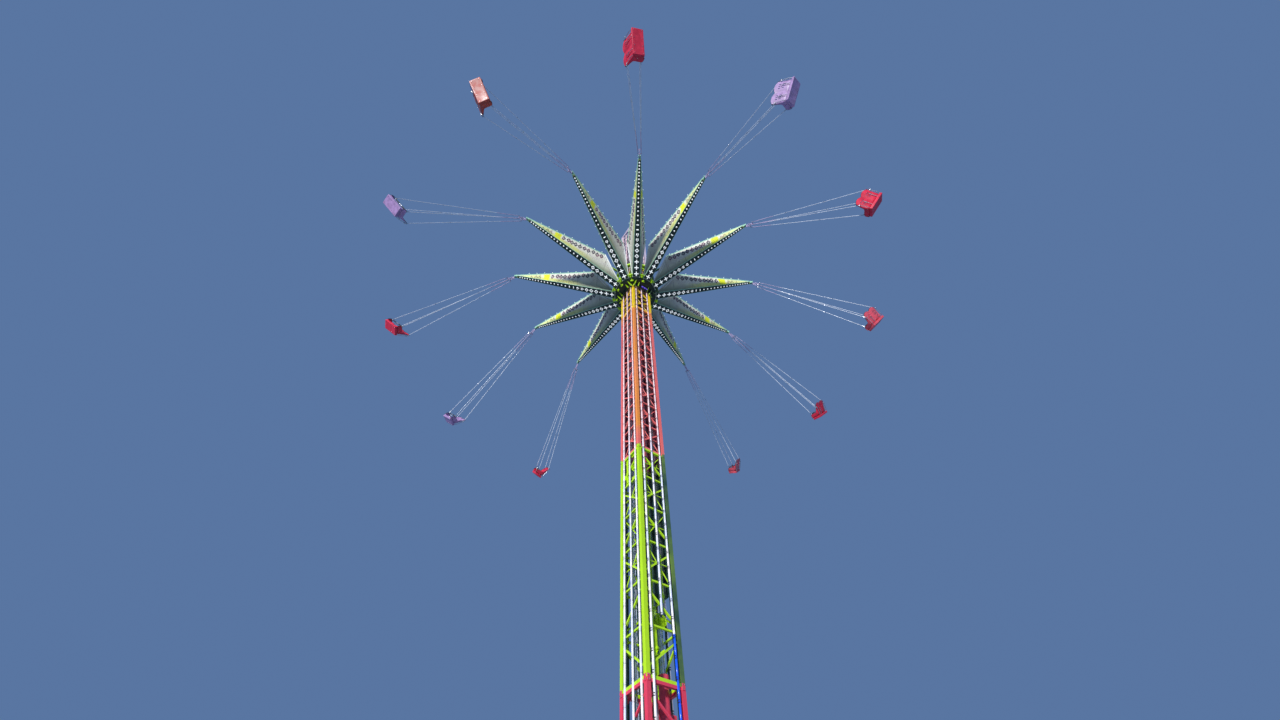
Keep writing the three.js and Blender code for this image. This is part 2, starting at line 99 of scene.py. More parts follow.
def armPlace(number):
    # tower axis at the height of the pins, with +X along the arm
    x, y, z = joints[f"swing_{number:02d}_hinge"]["pos_m"]
    return at(0, 0, z) @ turnZ(math.degrees(math.atan2(y, x)))


def chairPlace(number):
    # pin of a chair, with +X outwards in its swing plane, +Y forwards and its ropes along -Z
    hinge = joints[f"swing_{number:02d}_hinge"]
    yaw = math.degrees(math.atan2(hinge["axis"][0], -hinge["axis"][1]))
    return at(*hinge["pos_m"]) @ turnZ(yaw) @ turnY(hinge["range_deg"][0])


# the chairs lean back under their pins; each is modelled upright, with its origin on the seat pan
seatLook = {"forward": 0.09, "down": 7.43, "lean": 20}
seatPlace = at(0, seatLook["forward"], -seatLook["down"]) @ turnX(seatLook["lean"])


def pick(*pieces):
    bpy.ops.object.select_all(action="DESELECT")
    for piece in pieces:
        piece.select_set(True)
    bpy.context.view_layer.objects.active = pieces[0]


def freeze(piece):
    pick(piece)
    bpy.ops.object.transform_apply(location=True, rotation=True, scale=True)
    return piece


def openEdit(piece):
    pick(piece)
    bpy.ops.object.mode_set(mode="EDIT")
    bpy.ops.mesh.select_all(action="DESELECT")


def closeEdit():
    bpy.ops.object.mode_set(mode="OBJECT")


def choose(piece, kind, test):
    # in edit mode, selects the verts, edges or faces whose place passes the test
    bpy.context.tool_settings.mesh_select_mode = (kind == "verts", kind == "edges", kind == "faces")
    mesh = bmesh.from_edit_mesh(piece.data)
    mesh.normal_update()
    for part in [*mesh.verts, *mesh.edges, *mesh.faces]:
        part.select_set(False)
    for part in getattr(mesh, kind):
        if kind == "verts":
            chosen = test(part.co)
        elif kind == "edges":
            chosen = test(part.verts[0].co, part.verts[1].co)
        else:
            chosen = test(part.calc_center_median(), part.normal)
        if chosen:
            part.select_set(True)
    bmesh.update_edit_mesh(piece.data)


def shift(x, y, z):
    bpy.ops.transform.translate(value=(x, y, z))


def applyModifier(piece, kind, **settings):
    pick(piece)
    bpy.ops.object.modifier_add(type=kind)
    modifier = piece.modifiers[-1]
    for key, value in settings.items():
        setattr(modifier, key, value)
    bpy.ops.object.modifier_apply(modifier=modifier.name)
    return piece


def roundEdges(piece, width, segments=2, angle=30):
    return applyModifier(piece, "BEVEL", width=width, segments=segments, limit_method="ANGLE",
                         angle_limit=math.radians(angle), use_clamp_overlap=True)


def addBlock(size, middle=(0, 0, 0), edge=0.0, segments=1):
    bpy.ops.mesh.primitive_cube_add(size=1, location=middle)
    block = bpy.context.object
    block.scale = size
    freeze(block)
    if edge > 0:
        roundEdges(block, edge, segments)
    return block


def addTube(start, end, radius, sides=10, edge=0.0, endRadius=None):
    # a round bar between two points, with softened or narrowed ends
    start, end = Vector(start), Vector(end)
    along = end - start
    if endRadius is None:
        endRadius = radius
    bpy.ops.mesh.primitive_cone_add(vertices=sides, radius1=radius, radius2=endRadius, depth=along.length,
                                    location=(start + end) / 2,
                                    rotation=along.to_track_quat("Z", "Y").to_euler())
    tube = freeze(bpy.context.object)
    if edge > 0:
        roundEdges(tube, edge, 1, 50)
    return tube


def addRing(inner, outer, low, high, sides=48, edge=0.0):
    # a flat ring around Z: a disc with its middle inset and deleted, drawn up
    bpy.ops.mesh.primitive_circle_add(vertices=sides, radius=outer, fill_type="NGON", location=(0, 0, low))
    ring = freeze(bpy.context.object)
    openEdit(ring)
    bpy.ops.mesh.select_all(action="SELECT")
    bpy.ops.mesh.inset(thickness=(outer - inner) * math.cos(math.pi / sides))
    bpy.ops.mesh.delete(type="FACE")
    bpy.ops.mesh.select_all(action="SELECT")
    bpy.ops.mesh.extrude_region_move(TRANSFORM_OT_translate={"value": (0, 0, high - low)})
    bpy.ops.mesh.select_all(action="SELECT")
    bpy.ops.mesh.normals_make_consistent(inside=False)
    closeEdit()
    if edge > 0:
        roundEdges(ring, edge, 1, 50)
    return ring


def addPath(points, radius, sides=8):
    # a bent rod: tubes from point to point with a ball at each bend
    parts = [addTube(a, b, radius, sides) for a, b in zip(points, points[1:])]
    for point in points[1:-1]:
        bpy.ops.mesh.primitive_ico_sphere_add(subdivisions=1, radius=radius * 1.03, location=point)
        parts.append(freeze(bpy.context.object))
    return parts


def moved(piece, place):
    piece.data.transform(place)
    return piece


def copyTo(source, place, name=None):
    piece = source.copy()
    piece.data = source.data.copy()
    piece.data.transform(place)
    bpy.context.collection.objects.link(piece)
    if name:
        piece.name = name
    return piece


def remove(*pieces):
    for piece in pieces:
        bpy.data.objects.remove(piece)


def copies(source, places):
    made = [copyTo(source, place) for place in places]
    remove(source)
    return made


def joinAs(name, pieces):
    pick(*pieces)
    if len(pieces) > 1:
        bpy.ops.object.join()
    joined = bpy.context.object
    joined.name = name
    return freeze(joined)


def smooth(piece, angle=35):
    pick(piece)
    bpy.ops.object.shade_smooth_by_angle(angle=math.radians(angle))
    return piece


def paintWith(piece, finish):
    piece.data.materials.clear()
    piece.data.materials.append(finish)
    return piece


def finished(name, pieces, finish, angle=35):
    return paintWith(smooth(joinAs(name, pieces), angle), finish)


def rideOn(piece, body, slot=None, *replaced):
    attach(piece, body)
    if replaced:
        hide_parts(*replaced)
    return piece


def aimed(point, direction):
    # a place whose +Z looks along a direction
    return Matrix.Translation(point) @ Vector(direction).to_track_quat("Z", "Y").to_matrix().to_4x4()


def mirrored(point, side):
    return Vector((point[0], side * point[1], point[2]))


def mirroredX(point, side):
    return Vector((side * point[0], point[1], point[2]))


def startFinish(name, colour, roughness, metallic=0.0):
    finish = bpy.data.materials.new(name)
    finish.use_nodes = True
    shader = finish.node_tree.nodes["Principled BSDF"]
    shader.inputs["Base Color"].default_value = (*colour, 1)
    shader.inputs["Roughness"].default_value = roughness
    shader.inputs["Metallic"].default_value = metallic
    return finish, finish.node_tree, shader


def addNode(tree, kind, inputs=None, **settings):
    made = tree.nodes.new("ShaderNode" + kind)
    for key, value in settings.items():
        setattr(made, key, value)
    for key, value in (inputs or {}).items():
        if isinstance(value, bpy.types.NodeSocket):
            tree.links.new(value, made.inputs[key])
        else:
            made.inputs[key].default_value = value
    return made


def objectPlace(tree, scale=(1, 1, 1)):
    place = addNode(tree, "TexCoord").outputs["Object"]
    return addNode(tree, "Mapping", {"Vector": place, "Scale": scale}).outputs["Vector"]


def splitPlace(tree, place):
    parts = addNode(tree, "SeparateXYZ", {0: place})
    return parts.outputs[0], parts.outputs[1], parts.outputs[2]


def noise(tree, vector, scale, detail=3.0, roughness=0.5):
    return addNode(tree, "TexNoise", {"Vector": vector, "Scale": scale, "Detail": detail,
                                      "Roughness": roughness}).outputs["Fac"]


def stretchTo(tree, value, low, high, start=0.0, end=1.0):
    made = addNode(tree, "MapRange", {"Value": value, "From Min": low, "From Max": high,
                                      "To Min": start, "To Max": end}, interpolation_type="SMOOTHSTEP")
    return made.outputs["Result"]


def mathOf(tree, kind, a, b=0.0):
    return addNode(tree, "Math", {0: a, 1: b}, operation=kind).outputs[0]


def plus(tree, a, b):
    return mathOf(tree, "ADD", a, b)


def minus(tree, a, b):
    return mathOf(tree, "SUBTRACT", a, b)


def times(tree, first, *others):
    product = first
    for other in others:
        product = mathOf(tree, "MULTIPLY", product, other)
    return product


def blendColours(tree, share, a, b, kind="MIX"):
    made = addNode(tree, "Mix", {0: share}, data_type="RGBA", blend_type=kind)
    for index, value in ((6, a), (7, b)):
        if isinstance(value, bpy.types.NodeSocket):
            tree.links.new(value, made.inputs[index])
        else:
            made.inputs[index].default_value = (*value, 1)
    return made.outputs[2]


def relief(tree, shader, height, strength, distance):
    bump = addNode(tree, "Bump", {"Height": height, "Strength": strength, "Distance": distance})
    tree.links.new(bump.outputs["Normal"], shader.inputs["Normal"])


def weathered(name, colour, roughness=0.42, dirt=(0.07, 0.06, 0.05), streak=0.35, chips=0.72, bands=()):
    # old gloss paint: slow fading, rain streaks down the steel, small chips to the primer
    look = {"patches": 1.4, "postWide": 0.13, "fading": 0.8, "fadeShare": (0.3, 0.75, 0.0, 0.3),
            "streaks": (14, 14, 0.9), "streakShare": (0.52, 0.8), "chips": 17, "chipEdge": 0.02,
            "primer": (0.17, 0.16, 0.15), "dulling": 5, "skin": 160}
    finish, tree, shader = startFinish(name, colour, roughness)
    place = objectPlace(tree)
    tone = colour
    if bands:
        x, y, height = splitPlace(tree, place)
        patches = noise(tree, place, look["patches"])
    for band in bands:  # each starts at its own height, some on one corner post alone
        unevenly = plus(tree, height, times(tree, patches, band["patch"]))
        share = stretchTo(tree, unevenly, band["from"], band["to"])
        if "corner" in band:
            sideX, sideY = band["corner"]
            inward = mathOf(tree, "MAXIMUM", times(tree, x, -sideX), times(tree, y, -sideY))
            share = times(tree, share, mathOf(tree, "LESS_THAN", inward, look["postWide"] - towerHalf))
        tone = blendColours(tree, share, tone, band["colour"])
    fading = stretchTo(tree, noise(tree, place, look["fading"], 4), *look["fadeShare"])
    faded = blendColours(tree, fading, tone, [min(1, channel * 1.25 + 0.02) for channel in colour])
    runs = noise(tree, objectPlace(tree, look["streaks"]), 1.0, 5, 0.6)
    dirty = blendColours(tree, stretchTo(tree, runs, *look["streakShare"], 0.0, streak), faded, dirt)
    spots = stretchTo(tree, noise(tree, place, look["chips"], 8, 0.62), chips, chips + look["chipEdge"])
    tree.links.new(blendColours(tree, spots, dirty, look["primer"]), shader.inputs["Base Color"])
    dulling = noise(tree, place, look["dulling"], 5)
    dull = stretchTo(tree, dulling, 0.3, 0.7, roughness - 0.1, roughness + 0.16)
    tree.links.new(plus(tree, dull, times(tree, spots, 0.25)), shader.inputs["Roughness"])
    relief(tree, shader, minus(tree, noise(tree, place, look["skin"], 2), spots), 0.25, 0.0006)
    return finish


def bareMetal(name, colour, roughness, grain=60.0):
    # zinc or chrome: its own colour, with darker grains
    finish, tree, shader = startFinish(name, colour, roughness, 1.0)
    grains = noise(tree, objectPlace(tree), grain, 4, 0.6)
    darker = [channel * 0.72 for channel in colour]
    tone = blendColours(tree, stretchTo(tree, grains, 0.3, 0.7), darker, colour)
    tree.links.new(tone, shader.inputs["Base Color"])
    dull = stretchTo(tree, grains, 0.3, 0.7, roughness - 0.08, roughness + 0.14)
    tree.links.new(dull, shader.inputs["Roughness"])
    relief(tree, shader, grains, 0.12, 0.0004)
    return finish


def moulded(name, colour, roughness, coat=0.0):
    # glass fibre or plastic: gloss skin, slow colour shifts and fine scuffs
    look = {"clouds": 6, "cloudDark": 0.7, "scuffs": (90, 12, 30), "scuffShare": (0.62, 0.72), "skin": 45,
            "coatRoughness": 0.12}
    finish, tree, shader = startFinish(name, colour, roughness)
    place = objectPlace(tree)
    cloudy = stretchTo(tree, noise(tree, place, look["clouds"], 4), 0.3, 0.75)
    tone = blendColours(tree, cloudy, [channel * look["cloudDark"] for channel in colour], colour)
    scuffs = stretchTo(tree, noise(tree, objectPlace(tree, look["scuffs"]), 1.0, 6, 0.7), *look["scuffShare"])
    scuffed = blendColours(tree, scuffs, tone, [min(1, channel + 0.1) for channel in colour])
    tree.links.new(scuffed, shader.inputs["Base Color"])
    dull = plus(tree, stretchTo(tree, scuffs, 0, 1, 0, 0.25),
                stretchTo(tree, cloudy, 0, 1, roughness - 0.06, roughness + 0.06))
    tree.links.new(dull, shader.inputs["Roughness"])
    relief(tree, shader, noise(tree, place, look["skin"], 3), 0.15, 0.0008)
    shader.inputs["Coat Weight"].default_value = coat
    shader.inputs["Coat Roughness"].default_value = look["coatRoughness"]
    return finish


def glowing(name, colour, strength, glow=None):
    # lamp glass or plastic that is lit a little from inside
    finish, tree, shader = startFinish(name, colour, 0.25)
    clouds = stretchTo(tree, noise(tree, objectPlace(tree), 25, 3), 0.35, 0.7)
    tone = blendColours(tree, clouds, [channel * 0.85 for channel in colour], colour)
    tree.links.new(tone, shader.inputs["Base Color"])
    shader.inputs["Emission Color"].default_value = (*(glow or colour), 1)
    shader.inputs["Emission Strength"].default_value = strength
    return finish


finishColours = {
    "red": (0.68, 0.04, 0.085),
    "lime": (0.44, 0.72, 0.003),
    "coral": (0.84, 0.15, 0.13),
    "orange": (0.86, 0.29, 0.03),
    "yellow": (0.92, 0.66, 0.006),
    "darkGreen": (0.003, 0.022, 0.015),
    "teal": (0.012, 0.05, 0.045),
    "ram": (0.80, 0.07, 0.13),
    "hose": (0.80, 0.62, 0.64),
    "top": (0.66, 0.62, 0.78),
    "maroon": (0.20, 0.028, 0.055),
    "mint": (0.36, 0.66, 0.46),
    "white": (0.74, 0.77, 0.75),
    "lamp": (0.90, 0.94, 0.93),
    "rope": (0.80, 0.86, 0.94),
    "sleeve": (0.62, 0.50, 0.68),
    "hanger": (0.40, 0.32, 0.48),
    "black": (0.02, 0.022, 0.025),
    "shell_red": (0.78, 0.018, 0.06),
    "shell_pink": (0.82, 0.09, 0.13),
    "shell_lavender": (0.44, 0.27, 0.53),
    "shell_orange": (0.56, 0.075, 0.045),
}


def bandOf(colour, start, end, patch=0.0, **corner):
    # a coat that sets in between two heights and covers all above; corner is the one post that has it
    return {"colour": finishColours[colour], "from": start, "to": end, "patch": patch, **corner}


leftPost, rightPost = (-1, -1), (1, -1)
paints = {
    "red": weathered("redPaint", finishColours["red"]),
    "lime": weathered("limePaint", finishColours["lime"], bands=[bandOf("teal", 7.3, 7.4, corner=rightPost)]),
    "coral": weathered("coralPaint", finishColours["coral"], bands=[
        bandOf("orange", 15.8, 17.0, 1.2, corner=leftPost),
        bandOf("orange", 24.6, 26.2, 1.2),
        bandOf("yellow", 25.05, 25.15, corner=leftPost)]),
    "yellow": weathered("yellowPaint", finishColours["orange"], bands=[
        bandOf("yellow", 25.05, 25.15, corner=leftPost),
        bandOf("yellow", 25.3, 26.3, 0.8),
        bandOf("top", 30.9, 31.5, 0.4)]),
}
galvanised = bareMetal("galvanisedSteel", (0.55, 0.57, 0.60), 0.38)
chrome = bareMetal("chromedRod", (0.90, 0.91, 0.94), 0.3, 12.0)
ramPaint = weathered("ramPaint", finishColours["ram"], 0.4)
hosePlastic = moulded("hosePlastic", finishColours["hose"], 0.4)
darkGreenPaint = weathered("darkGreenPaint", finishColours["darkGreen"], 0.55, (0.01, 0.012, 0.012), 0.3, 0.8)
# dark teal turning maroon above about 15 m: painted shade of the tower's inside, on the strips' channels and on
# the trays
channelPaint = weathered("channelPaint", finishColours["teal"], 0.55, (0.02, 0.02, 0.02), 0.3, 0.8,
                         [bandOf("maroon", 14.6, 15.6, 0.4)])
mintPaint = weathered("mintPaint", finishColours["mint"], 0.4, (0.1, 0.12, 0.1), 0.2, 0.8)
whitePaint = weathered("whitePaint", finishColours["white"], 0.4, (0.2, 0.2, 0.18), 0.25, 0.78)
hangerPaint = weathered("hangerPaint", finishColours["hanger"], 0.5, streak=0.2)
lampCap = glowing("lampCap", finishColours["lamp"], 0.55)
ropeSteel = moulded("coatedRope", finishColours["rope"], 0.35, 0.2)
sleevePlastic = moulded("sleevePlastic", finishColours["sleeve"], 0.5)
blackRubber = moulded("blackRubber", finishColours["black"], 0.6)
purpleLight = glowing("purpleLight", (0.20, 0.13, 0.62), 0.9, (0.16, 0.09, 0.80))
shells = {name: moulded(name.replace("shell_", "") + "Shell", colour, 0.52, 0.04)
          for name, colour in finishColours.items() if name.startswith("shell_")}
print("finishes made")


def panelFinish():
    # printed panels along the arms, with one generic pattern on both sides of every arm over painted shade near
    # the
    # hub and along the lower edge: it is laid out by reach, the distance from the tower's axis, and by share, the
    # part of the panel's height there
    # shade and low are painted shade: grey near the hub, darker green along the lower edge
    look = {"ground": (0.82, 0.79, 0.66), "shade": (0.62, 0.63, 0.57), "low": (0.20, 0.26, 0.22),
            "wash": (0.70, 0.71, 0.17), "tip": (0.74, 0.77, 0.28), "block": (0.80, 0.82, 0.03),
            "edge": (0.56, 0.76, 0.62), "stripe": (0.82, 0.84, 0.82), "ring": (0.32, 0.22, 0.25),
            "mark": (0.03, 0.018, 0.05), "rose": (0.17, 0.045, 0.11), "seam": (0.08, 0.09, 0.09),
            "dirt": (0.22, 0.23, 0.2), "forkFrom": 6.865, "clouds": 1.7, "wander": 1.9, "paler": (0.9, 1.6),
            "palerPerMetre": 0.26, "lowShadeShare": (0.42, 0.0), "lowShadeReach": (4.6, 3.2), "washShare": (0.5, 0.3),
            "washReach": (2.6, 4.2, 0.12, 0.85), "ringSize": (2.6, 2.6, 2.2), "ringTurns": 40.0,
            "ringLine": (0.6, 0.9), "ringPatch": (0.44, 0.54, 0.0, 0.65), "ringReach": (5.2, 4.4),
            "blockFrom": (4.92, 5.0), "blockTo": (5.38, 5.28), "tipReach": (5.2, 5.9, 0.0, 0.85),
            "markEvery": 0.25, "markHigh": 0.43, "markAt": 0.31, "markRow": 1.11, "markSpread": 0.3,
            "markEdge": (0.51, 0.47), "hollowFrom": (0.1, 0.13), "hollowTo": (0.24, 0.21),
            "rowTop": (0.1, 0.12), "rowEnd": (0.53, 0.51), "marksFrom": (2.4, 2.45),
            "marksTo": (4.9, 4.86), "farFrom": (5.42, 5.47), "farTo": (6.1, 6.05, 0.0, 0.6),
            "rosyPatches": 2.3, "rosyShare": (0.5, 0.58), "border": (0.085, 0.06),
            "stripes": ((0.07, 0.035), (0.17, 0.03)), "stripeCore": 0.6, "stripeFoot": (0.1, 0.4),
            "seamEvery": 1.1, "seamFrom": (0.0, 0.004), "seamTo": (0.016, 0.012), "seamShare": 0.7,
            "runs": (6, 6, 0.7), "dirtShare": (0.5, 0.8, 0.0, 0.3), "roughness": (0.3, 0.7, 0.45, 0.6),
            "gloss": 0.2, "sag": 2.6, "seamDeep": 0.35}
    (toeX, _, toeZ), (heelX, _, heelZ), (endX, _, endZ), (_, _, endTopZ) = armShape.values()
    finish, tree, shader = startFinish("armPanel", look["ground"], 0.4)
    place = objectPlace(tree)
    x, y, z = splitPlace(tree, place)
    flat = addNode(tree, "CombineXYZ", {0: x, 1: y, 2: 0.0}).outputs[0]
    reach = addNode(tree, "VectorMath", {0: flat}, operation="LENGTH").outputs["Value"]
    height = minus(tree, z, tipHeight)
    fromEnd = minus(tree, reach, endX)
    low = times(tree, fromEnd, (endZ - toeZ) / (endX - toeX))
    top = plus(tree, times(tree, fromEnd, (endTopZ - heelZ) / (endX - heelX)), endTopZ)
    share = mathOf(tree, "DIVIDE", minus(tree, height, low), minus(tree, top, low))
    across = minus(tree, top, height)
    cloud = noise(tree, place, look["clouds"], 5, 0.6)
    wander = times(tree, minus(tree, cloud, 0.5), look["wander"])

    def over(tone, amount, colour):
        return blendColours(tree, amount, tone, colour)

    def ramp(value, limits):
        return stretchTo(tree, value, *look[limits])

    # painted shade: grey near the hub and darker green along the lower edge; a yellow wash over the outer half
    tone = over(look["shade"], ramp(plus(tree, share, times(tree, reach, look["palerPerMetre"])), "paler"),
                look["ground"])
    tone = over(tone, times(tree, ramp(share, "lowShadeShare"), ramp(reach, "lowShadeReach")), look["low"])
    uneven = plus(tree, share, times(tree, wander, 0.2))
    washed = times(tree, ramp(uneven, "washShare"), ramp(plus(tree, reach, wander), "washReach"))
    tone = over(tone, washed, look["wash"])
    # thin loose rings and lines over the middle of the sheets
    leaves = addNode(tree, "TexVoronoi", {"Vector": objectPlace(tree, look["ringSize"]), "Scale": 1.0},
                     feature="F1").outputs["Distance"]
    waves = mathOf(tree, "SINE", times(tree, plus(tree, leaves, times(tree, cloud, 0.5)), look["ringTurns"]))
    rings = times(tree, ramp(waves, "ringLine"), ramp(cloud, "ringPatch"), ramp(reach, "ringReach"))
    tone = over(tone, rings, look["ring"])
    # a bright block beyond the marks, and a pale yellow tip
    slant = plus(tree, reach, times(tree, wander, 0.25))
    tone = over(tone, ramp(plus(tree, reach, wander), "tipReach"), look["tip"])
    tone = over(tone, times(tree, ramp(slant, "blockFrom"), ramp(slant, "blockTo")), look["block"])
    # one row of bold lozenges under the top edge, smaller beyond the block
    rowShift = look["markRow"] - look["markAt"] / look["markHigh"]
    grid = addNode(tree, "CombineXYZ", {
        0: mathOf(tree, "DIVIDE", reach, look["markEvery"]),
        1: plus(tree, mathOf(tree, "DIVIDE", across, look["markHigh"]), rowShift), 2: 0.0}).outputs[0]
    cells = addNode(tree, "TexVoronoi", {"Vector": grid, "Scale": 1.0, "Randomness": look["markSpread"]},
                    distance="MANHATTAN", voronoi_dimensions="2D").outputs["Distance"]
    hollow = times(tree, ramp(cells, "hollowFrom"), ramp(cells, "hollowTo"))
    marks = times(tree, ramp(cells, "markEdge"), minus(tree, 1.0, hollow))
    row = times(tree, ramp(across, "rowTop"), ramp(across, "rowEnd"))
    near = times(tree, ramp(reach, "marksFrom"), ramp(slant, "marksTo"))
    far = times(tree, ramp(slant, "farFrom"), ramp(reach, "farTo"))
    rosy = ramp(noise(tree, place, look["rosyPatches"], 2), "rosyShare")
    ink = blendColours(tree, rosy, look["mark"], look["rose"])
    tone = over(tone, times(tree, marks, row, mathOf(tree, "MAXIMUM", near, far)), ink)
    # pale border along the top, and two pale stripes inside the heel
    tone = over(tone, ramp(across, "border"), look["edge"])
    rise, going = heelZ - toeZ, heelX - toeX
    upwards = times(tree, minus(tree, height, toeZ), going)
    inside = minus(tree, times(tree, minus(tree, reach, toeX), rise), upwards)
    inside = mathOf(tree, "DIVIDE", inside, math.hypot(rise, going))
    for middle, half in look["stripes"]:
        away = mathOf(tree, "ABSOLUTE", minus(tree, inside, middle))
        stripe = stretchTo(tree, away, half, half * look["stripeCore"])
        tone = over(tone, times(tree, stripe, ramp(share, "stripeFoot")), look["stripe"])
    # upright seams between the sheets, and rain dirt
    saw = mathOf(tree, "FRACT", mathOf(tree, "DIVIDE", reach, look["seamEvery"]))
    seam = times(tree, ramp(saw, "seamFrom"), ramp(saw, "seamTo"))
    tone = over(tone, times(tree, seam, look["seamShare"]), look["seam"])
    runs = noise(tree, objectPlace(tree, look["runs"]), 1.0, 5, 0.6)
    tone = over(tone, ramp(runs, "dirtShare"), look["dirt"])
    tone = over(tone, mathOf(tree, "GREATER_THAN", reach, look["forkFrom"]), finishColours["mint"])
    tree.links.new(tone, shader.inputs["Base Color"])
    tree.links.new(ramp(cloud, "roughness"), shader.inputs["Roughness"])
    shader.inputs["Specular IOR Level"].default_value = look["gloss"]
    waviness = minus(tree, noise(tree, place, look["sag"], 2), times(tree, seam, look["seamDeep"]))
    relief(tree, shader, waviness, 0.35, 0.012)
    return finish


def carriageFinish():
    # lime steel, with the round table that carries the star in dark green
    look = {"tableFrom": carriageLow.z + 0.188, "tableTo": hubLow.z + 0.01}
    finish = weathered("carriagePaint", finishColours["lime"])
    tree = finish.node_tree
    shader = tree.nodes["Principled BSDF"]
    lime = shader.inputs["Base Color"].links[0].from_socket
    z = splitPlace(tree, objectPlace(tree))[2]
    onTable = times(tree, mathOf(tree, "GREATER_THAN", z, look["tableFrom"]),
                    mathOf(tree, "LESS_THAN", z, look["tableTo"]))
    tree.links.new(blendColours(tree, onTable, lime, finishColours["darkGreen"]), shader.inputs["Base Color"])
    return finish


def tubeLightFinish():
    # white tubes, with one stretch at the tower's right-hand edge that is lit blue
    look = {"blueBelow": 8.62, "blueFromX": 0.2, "blueToY": -0.4, "warm": (0.86, 0.80, 0.80),
            "cool": (0.62, 0.67, 0.82), "blue": (0.01, 0.09, 0.75), "pinkish": (0.84, 0.60, 0.60),
            "pinkFrom": (14.0, 17.0, 0.0, 0.85), "glow": 0.12}
    finish, tree, shader = startFinish("tubeLight", look["warm"], 0.22)
    x, y, z = splitPlace(tree, objectPlace(tree))
    blue = times(tree, mathOf(tree, "LESS_THAN", z, look["blueBelow"]),
                 mathOf(tree, "GREATER_THAN", x, look["blueFromX"]),
                 mathOf(tree, "LESS_THAN", y, look["blueToY"]))
    warm = stretchTo(tree, noise(tree, objectPlace(tree, (3, 3, 1.1)), 1.0, 2), 0.35, 0.65)
    white = blendColours(tree, warm, look["cool"], look["warm"])
    white = blendColours(tree, stretchTo(tree, z, *look["pinkFrom"]), white, look["pinkish"])
    tone = blendColours(tree, blue, white, look["blue"])
    tree.links.new(tone, shader.inputs["Base Color"])
    tree.links.new(tone, shader.inputs["Emission Color"])
    shader.inputs["Emission Strength"].default_value = look["glow"]
    return finish


carriagePaint = carriageFinish()
tubeLight = tubeLightFinish()
nodeFinishes = {**paints, "arm": panelFinish(), "sling": galvanised, "chair": galvanised,
                "tower_head": paints["yellow"], "base_plate": paints["red"], "ram_barrel": paints["red"],
                "ram_rod": chrome, "ram_block": paints["lime"], "carriage_frame": carriagePaint,
                "hub_lower_ring": darkGreenPaint, "hub_upper_ring": paints["lime"]}
for name, node in cadNodes.items():  # by the node's whole name, or by its first word
    paintWith(node, nodeFinishes.get(name) or nodeFinishes[name.split("_")[0]])
print("CAD nodes painted")


def boltModel(size):
    # a hexagon-headed bolt with its washer, standing on z = 0; its measures are shares of its size
    look = {"washerTop": 0.18, "head": 0.8, "headTop": 0.8, "crown": (0.12, 0.08), "shank": 0.42,
            "shankFrom": 0.7, "shankTop": 1.25, "shankEdge": 0.06}
    washerTop, headTop = size * look["washerTop"], size * look["headTop"]
    washer = addTube((0, 0, 0), (0, 0, washerTop), size, 12)
    head = addTube((0, 0, washerTop), (0, 0, headTop), size * look["head"], 6)
    openEdit(head)
    choose(head, "faces", lambda middle, normal: normal.z > 0.9)
    bpy.ops.mesh.inset(thickness=size * look["crown"][0])
    shift(0, 0, size * look["crown"][1])
    closeEdit()
    shank = addTube((0, 0, size * look["shankFrom"]), (0, 0, size * look["shankTop"]),
                    size * look["shank"], 8, size * look["shankEdge"])
    return joinAs("bolt", [washer, head, shank])


def boltsAt(name, size, places):
    return finished(name, copies(boltModel(size), places), galvanised, 30)


def lightStrips():
    # three strips of tube lights on each face of the tower, in channels clipped to its bracing
    look = {"across": (-0.355, 0.0, 0.355), "from": 0.55, "to": 36.35, "standOff": 0.006, "radius": 0.031,
            "length": 0.5, "space": 0.008, "channel": (0.078, 0.024), "channelAt": 0.02,
            "channelWall": 0.008, "backing": (0.05, 0.01, 0.13), "backingAt": (-0.012, 0.0279, 0),
            "clipAt": 0.03, "arm": (0.014, 0.044, 0.018), "armAt": (-0.035, 0.008),
            "tongue": (0.026, 0.008, 0.0144), "tongueAt": (-0.02, -0.02683), "tubesLeftOut": 17}
    radius, length, out = look["radius"], look["length"], towerHalf - look["standOff"]
    tube = addTube((0, 0, look["space"] / 2), (0, 0, length - look["space"] / 2), radius, 10, 0.008)
    paintWith(smooth(tube, 50), tubeLight)
    # two black clips that hold the tubes' ends from one side, and the plate under them
    saddles = [addBlock(look["backing"], look["backingAt"])]
    for z in (-look["clipAt"], look["clipAt"]):
        saddles.append(addBlock(look["arm"], (*look["armAt"], z)))
        saddles.append(addBlock(look["tongue"], (*look["tongueAt"], z)))
    clip = paintWith(joinAs("clip", saddles), blackRubber)
    count = int((look["to"] - look["from"]) / length)
    wide, deep = look["channel"]
    channelMiddle = (0, look["channelAt"] + deep / 2, look["from"] + count * length / 2)
    channel = addBlock((wide, deep, count * length), channelMiddle)
    openEdit(channel)
    choose(channel, "faces", lambda middle, normal: normal.y < -0.9)
    bpy.ops.mesh.inset(thickness=look["channelWall"])
    shift(0, deep * 0.6, 0)
    closeEdit()
    # the channels carry painted shade of the tower's inside
    paintWith(roundEdges(channel, 0.002, 1), channelPaint)
    upperChannel = copyTo(channel, Matrix.Identity(4))
    openEdit(upperChannel)
    choose(upperChannel, "verts", lambda co: co.z < 1)
    shift(0, 0, look["tubesLeftOut"] * length)
    closeEdit()
    for face in range(4):
        turned = turnZ(face * 90)
        # the strip before the ram's wheels starts above them
        first = {x: look["tubesLeftOut"] if face == 0 and x == 0 else 0 for x in look["across"]}
        spots = [turned @ at(x, -out, look["from"] + i * length) for x in look["across"]
                 for i in range(first[x], count)]
        rideOn(joinAs(f"light_tubes_{face + 1}", [copyTo(tube, spot) for spot in spots]), "root")
        rideOn(joinAs(f"light_clips_{face + 1}", [copyTo(clip, spot) for spot in spots]), "root")
        channels = [copyTo(upperChannel if first[x] else channel, turned @ at(x, -out, 0))
                    for x in look["across"]]
        rideOn(joinAs(f"light_channels_{face + 1}", channels), "root")
    remove(tube, clip, channel, upperChannel)


lightStrips()
print("light strips made")


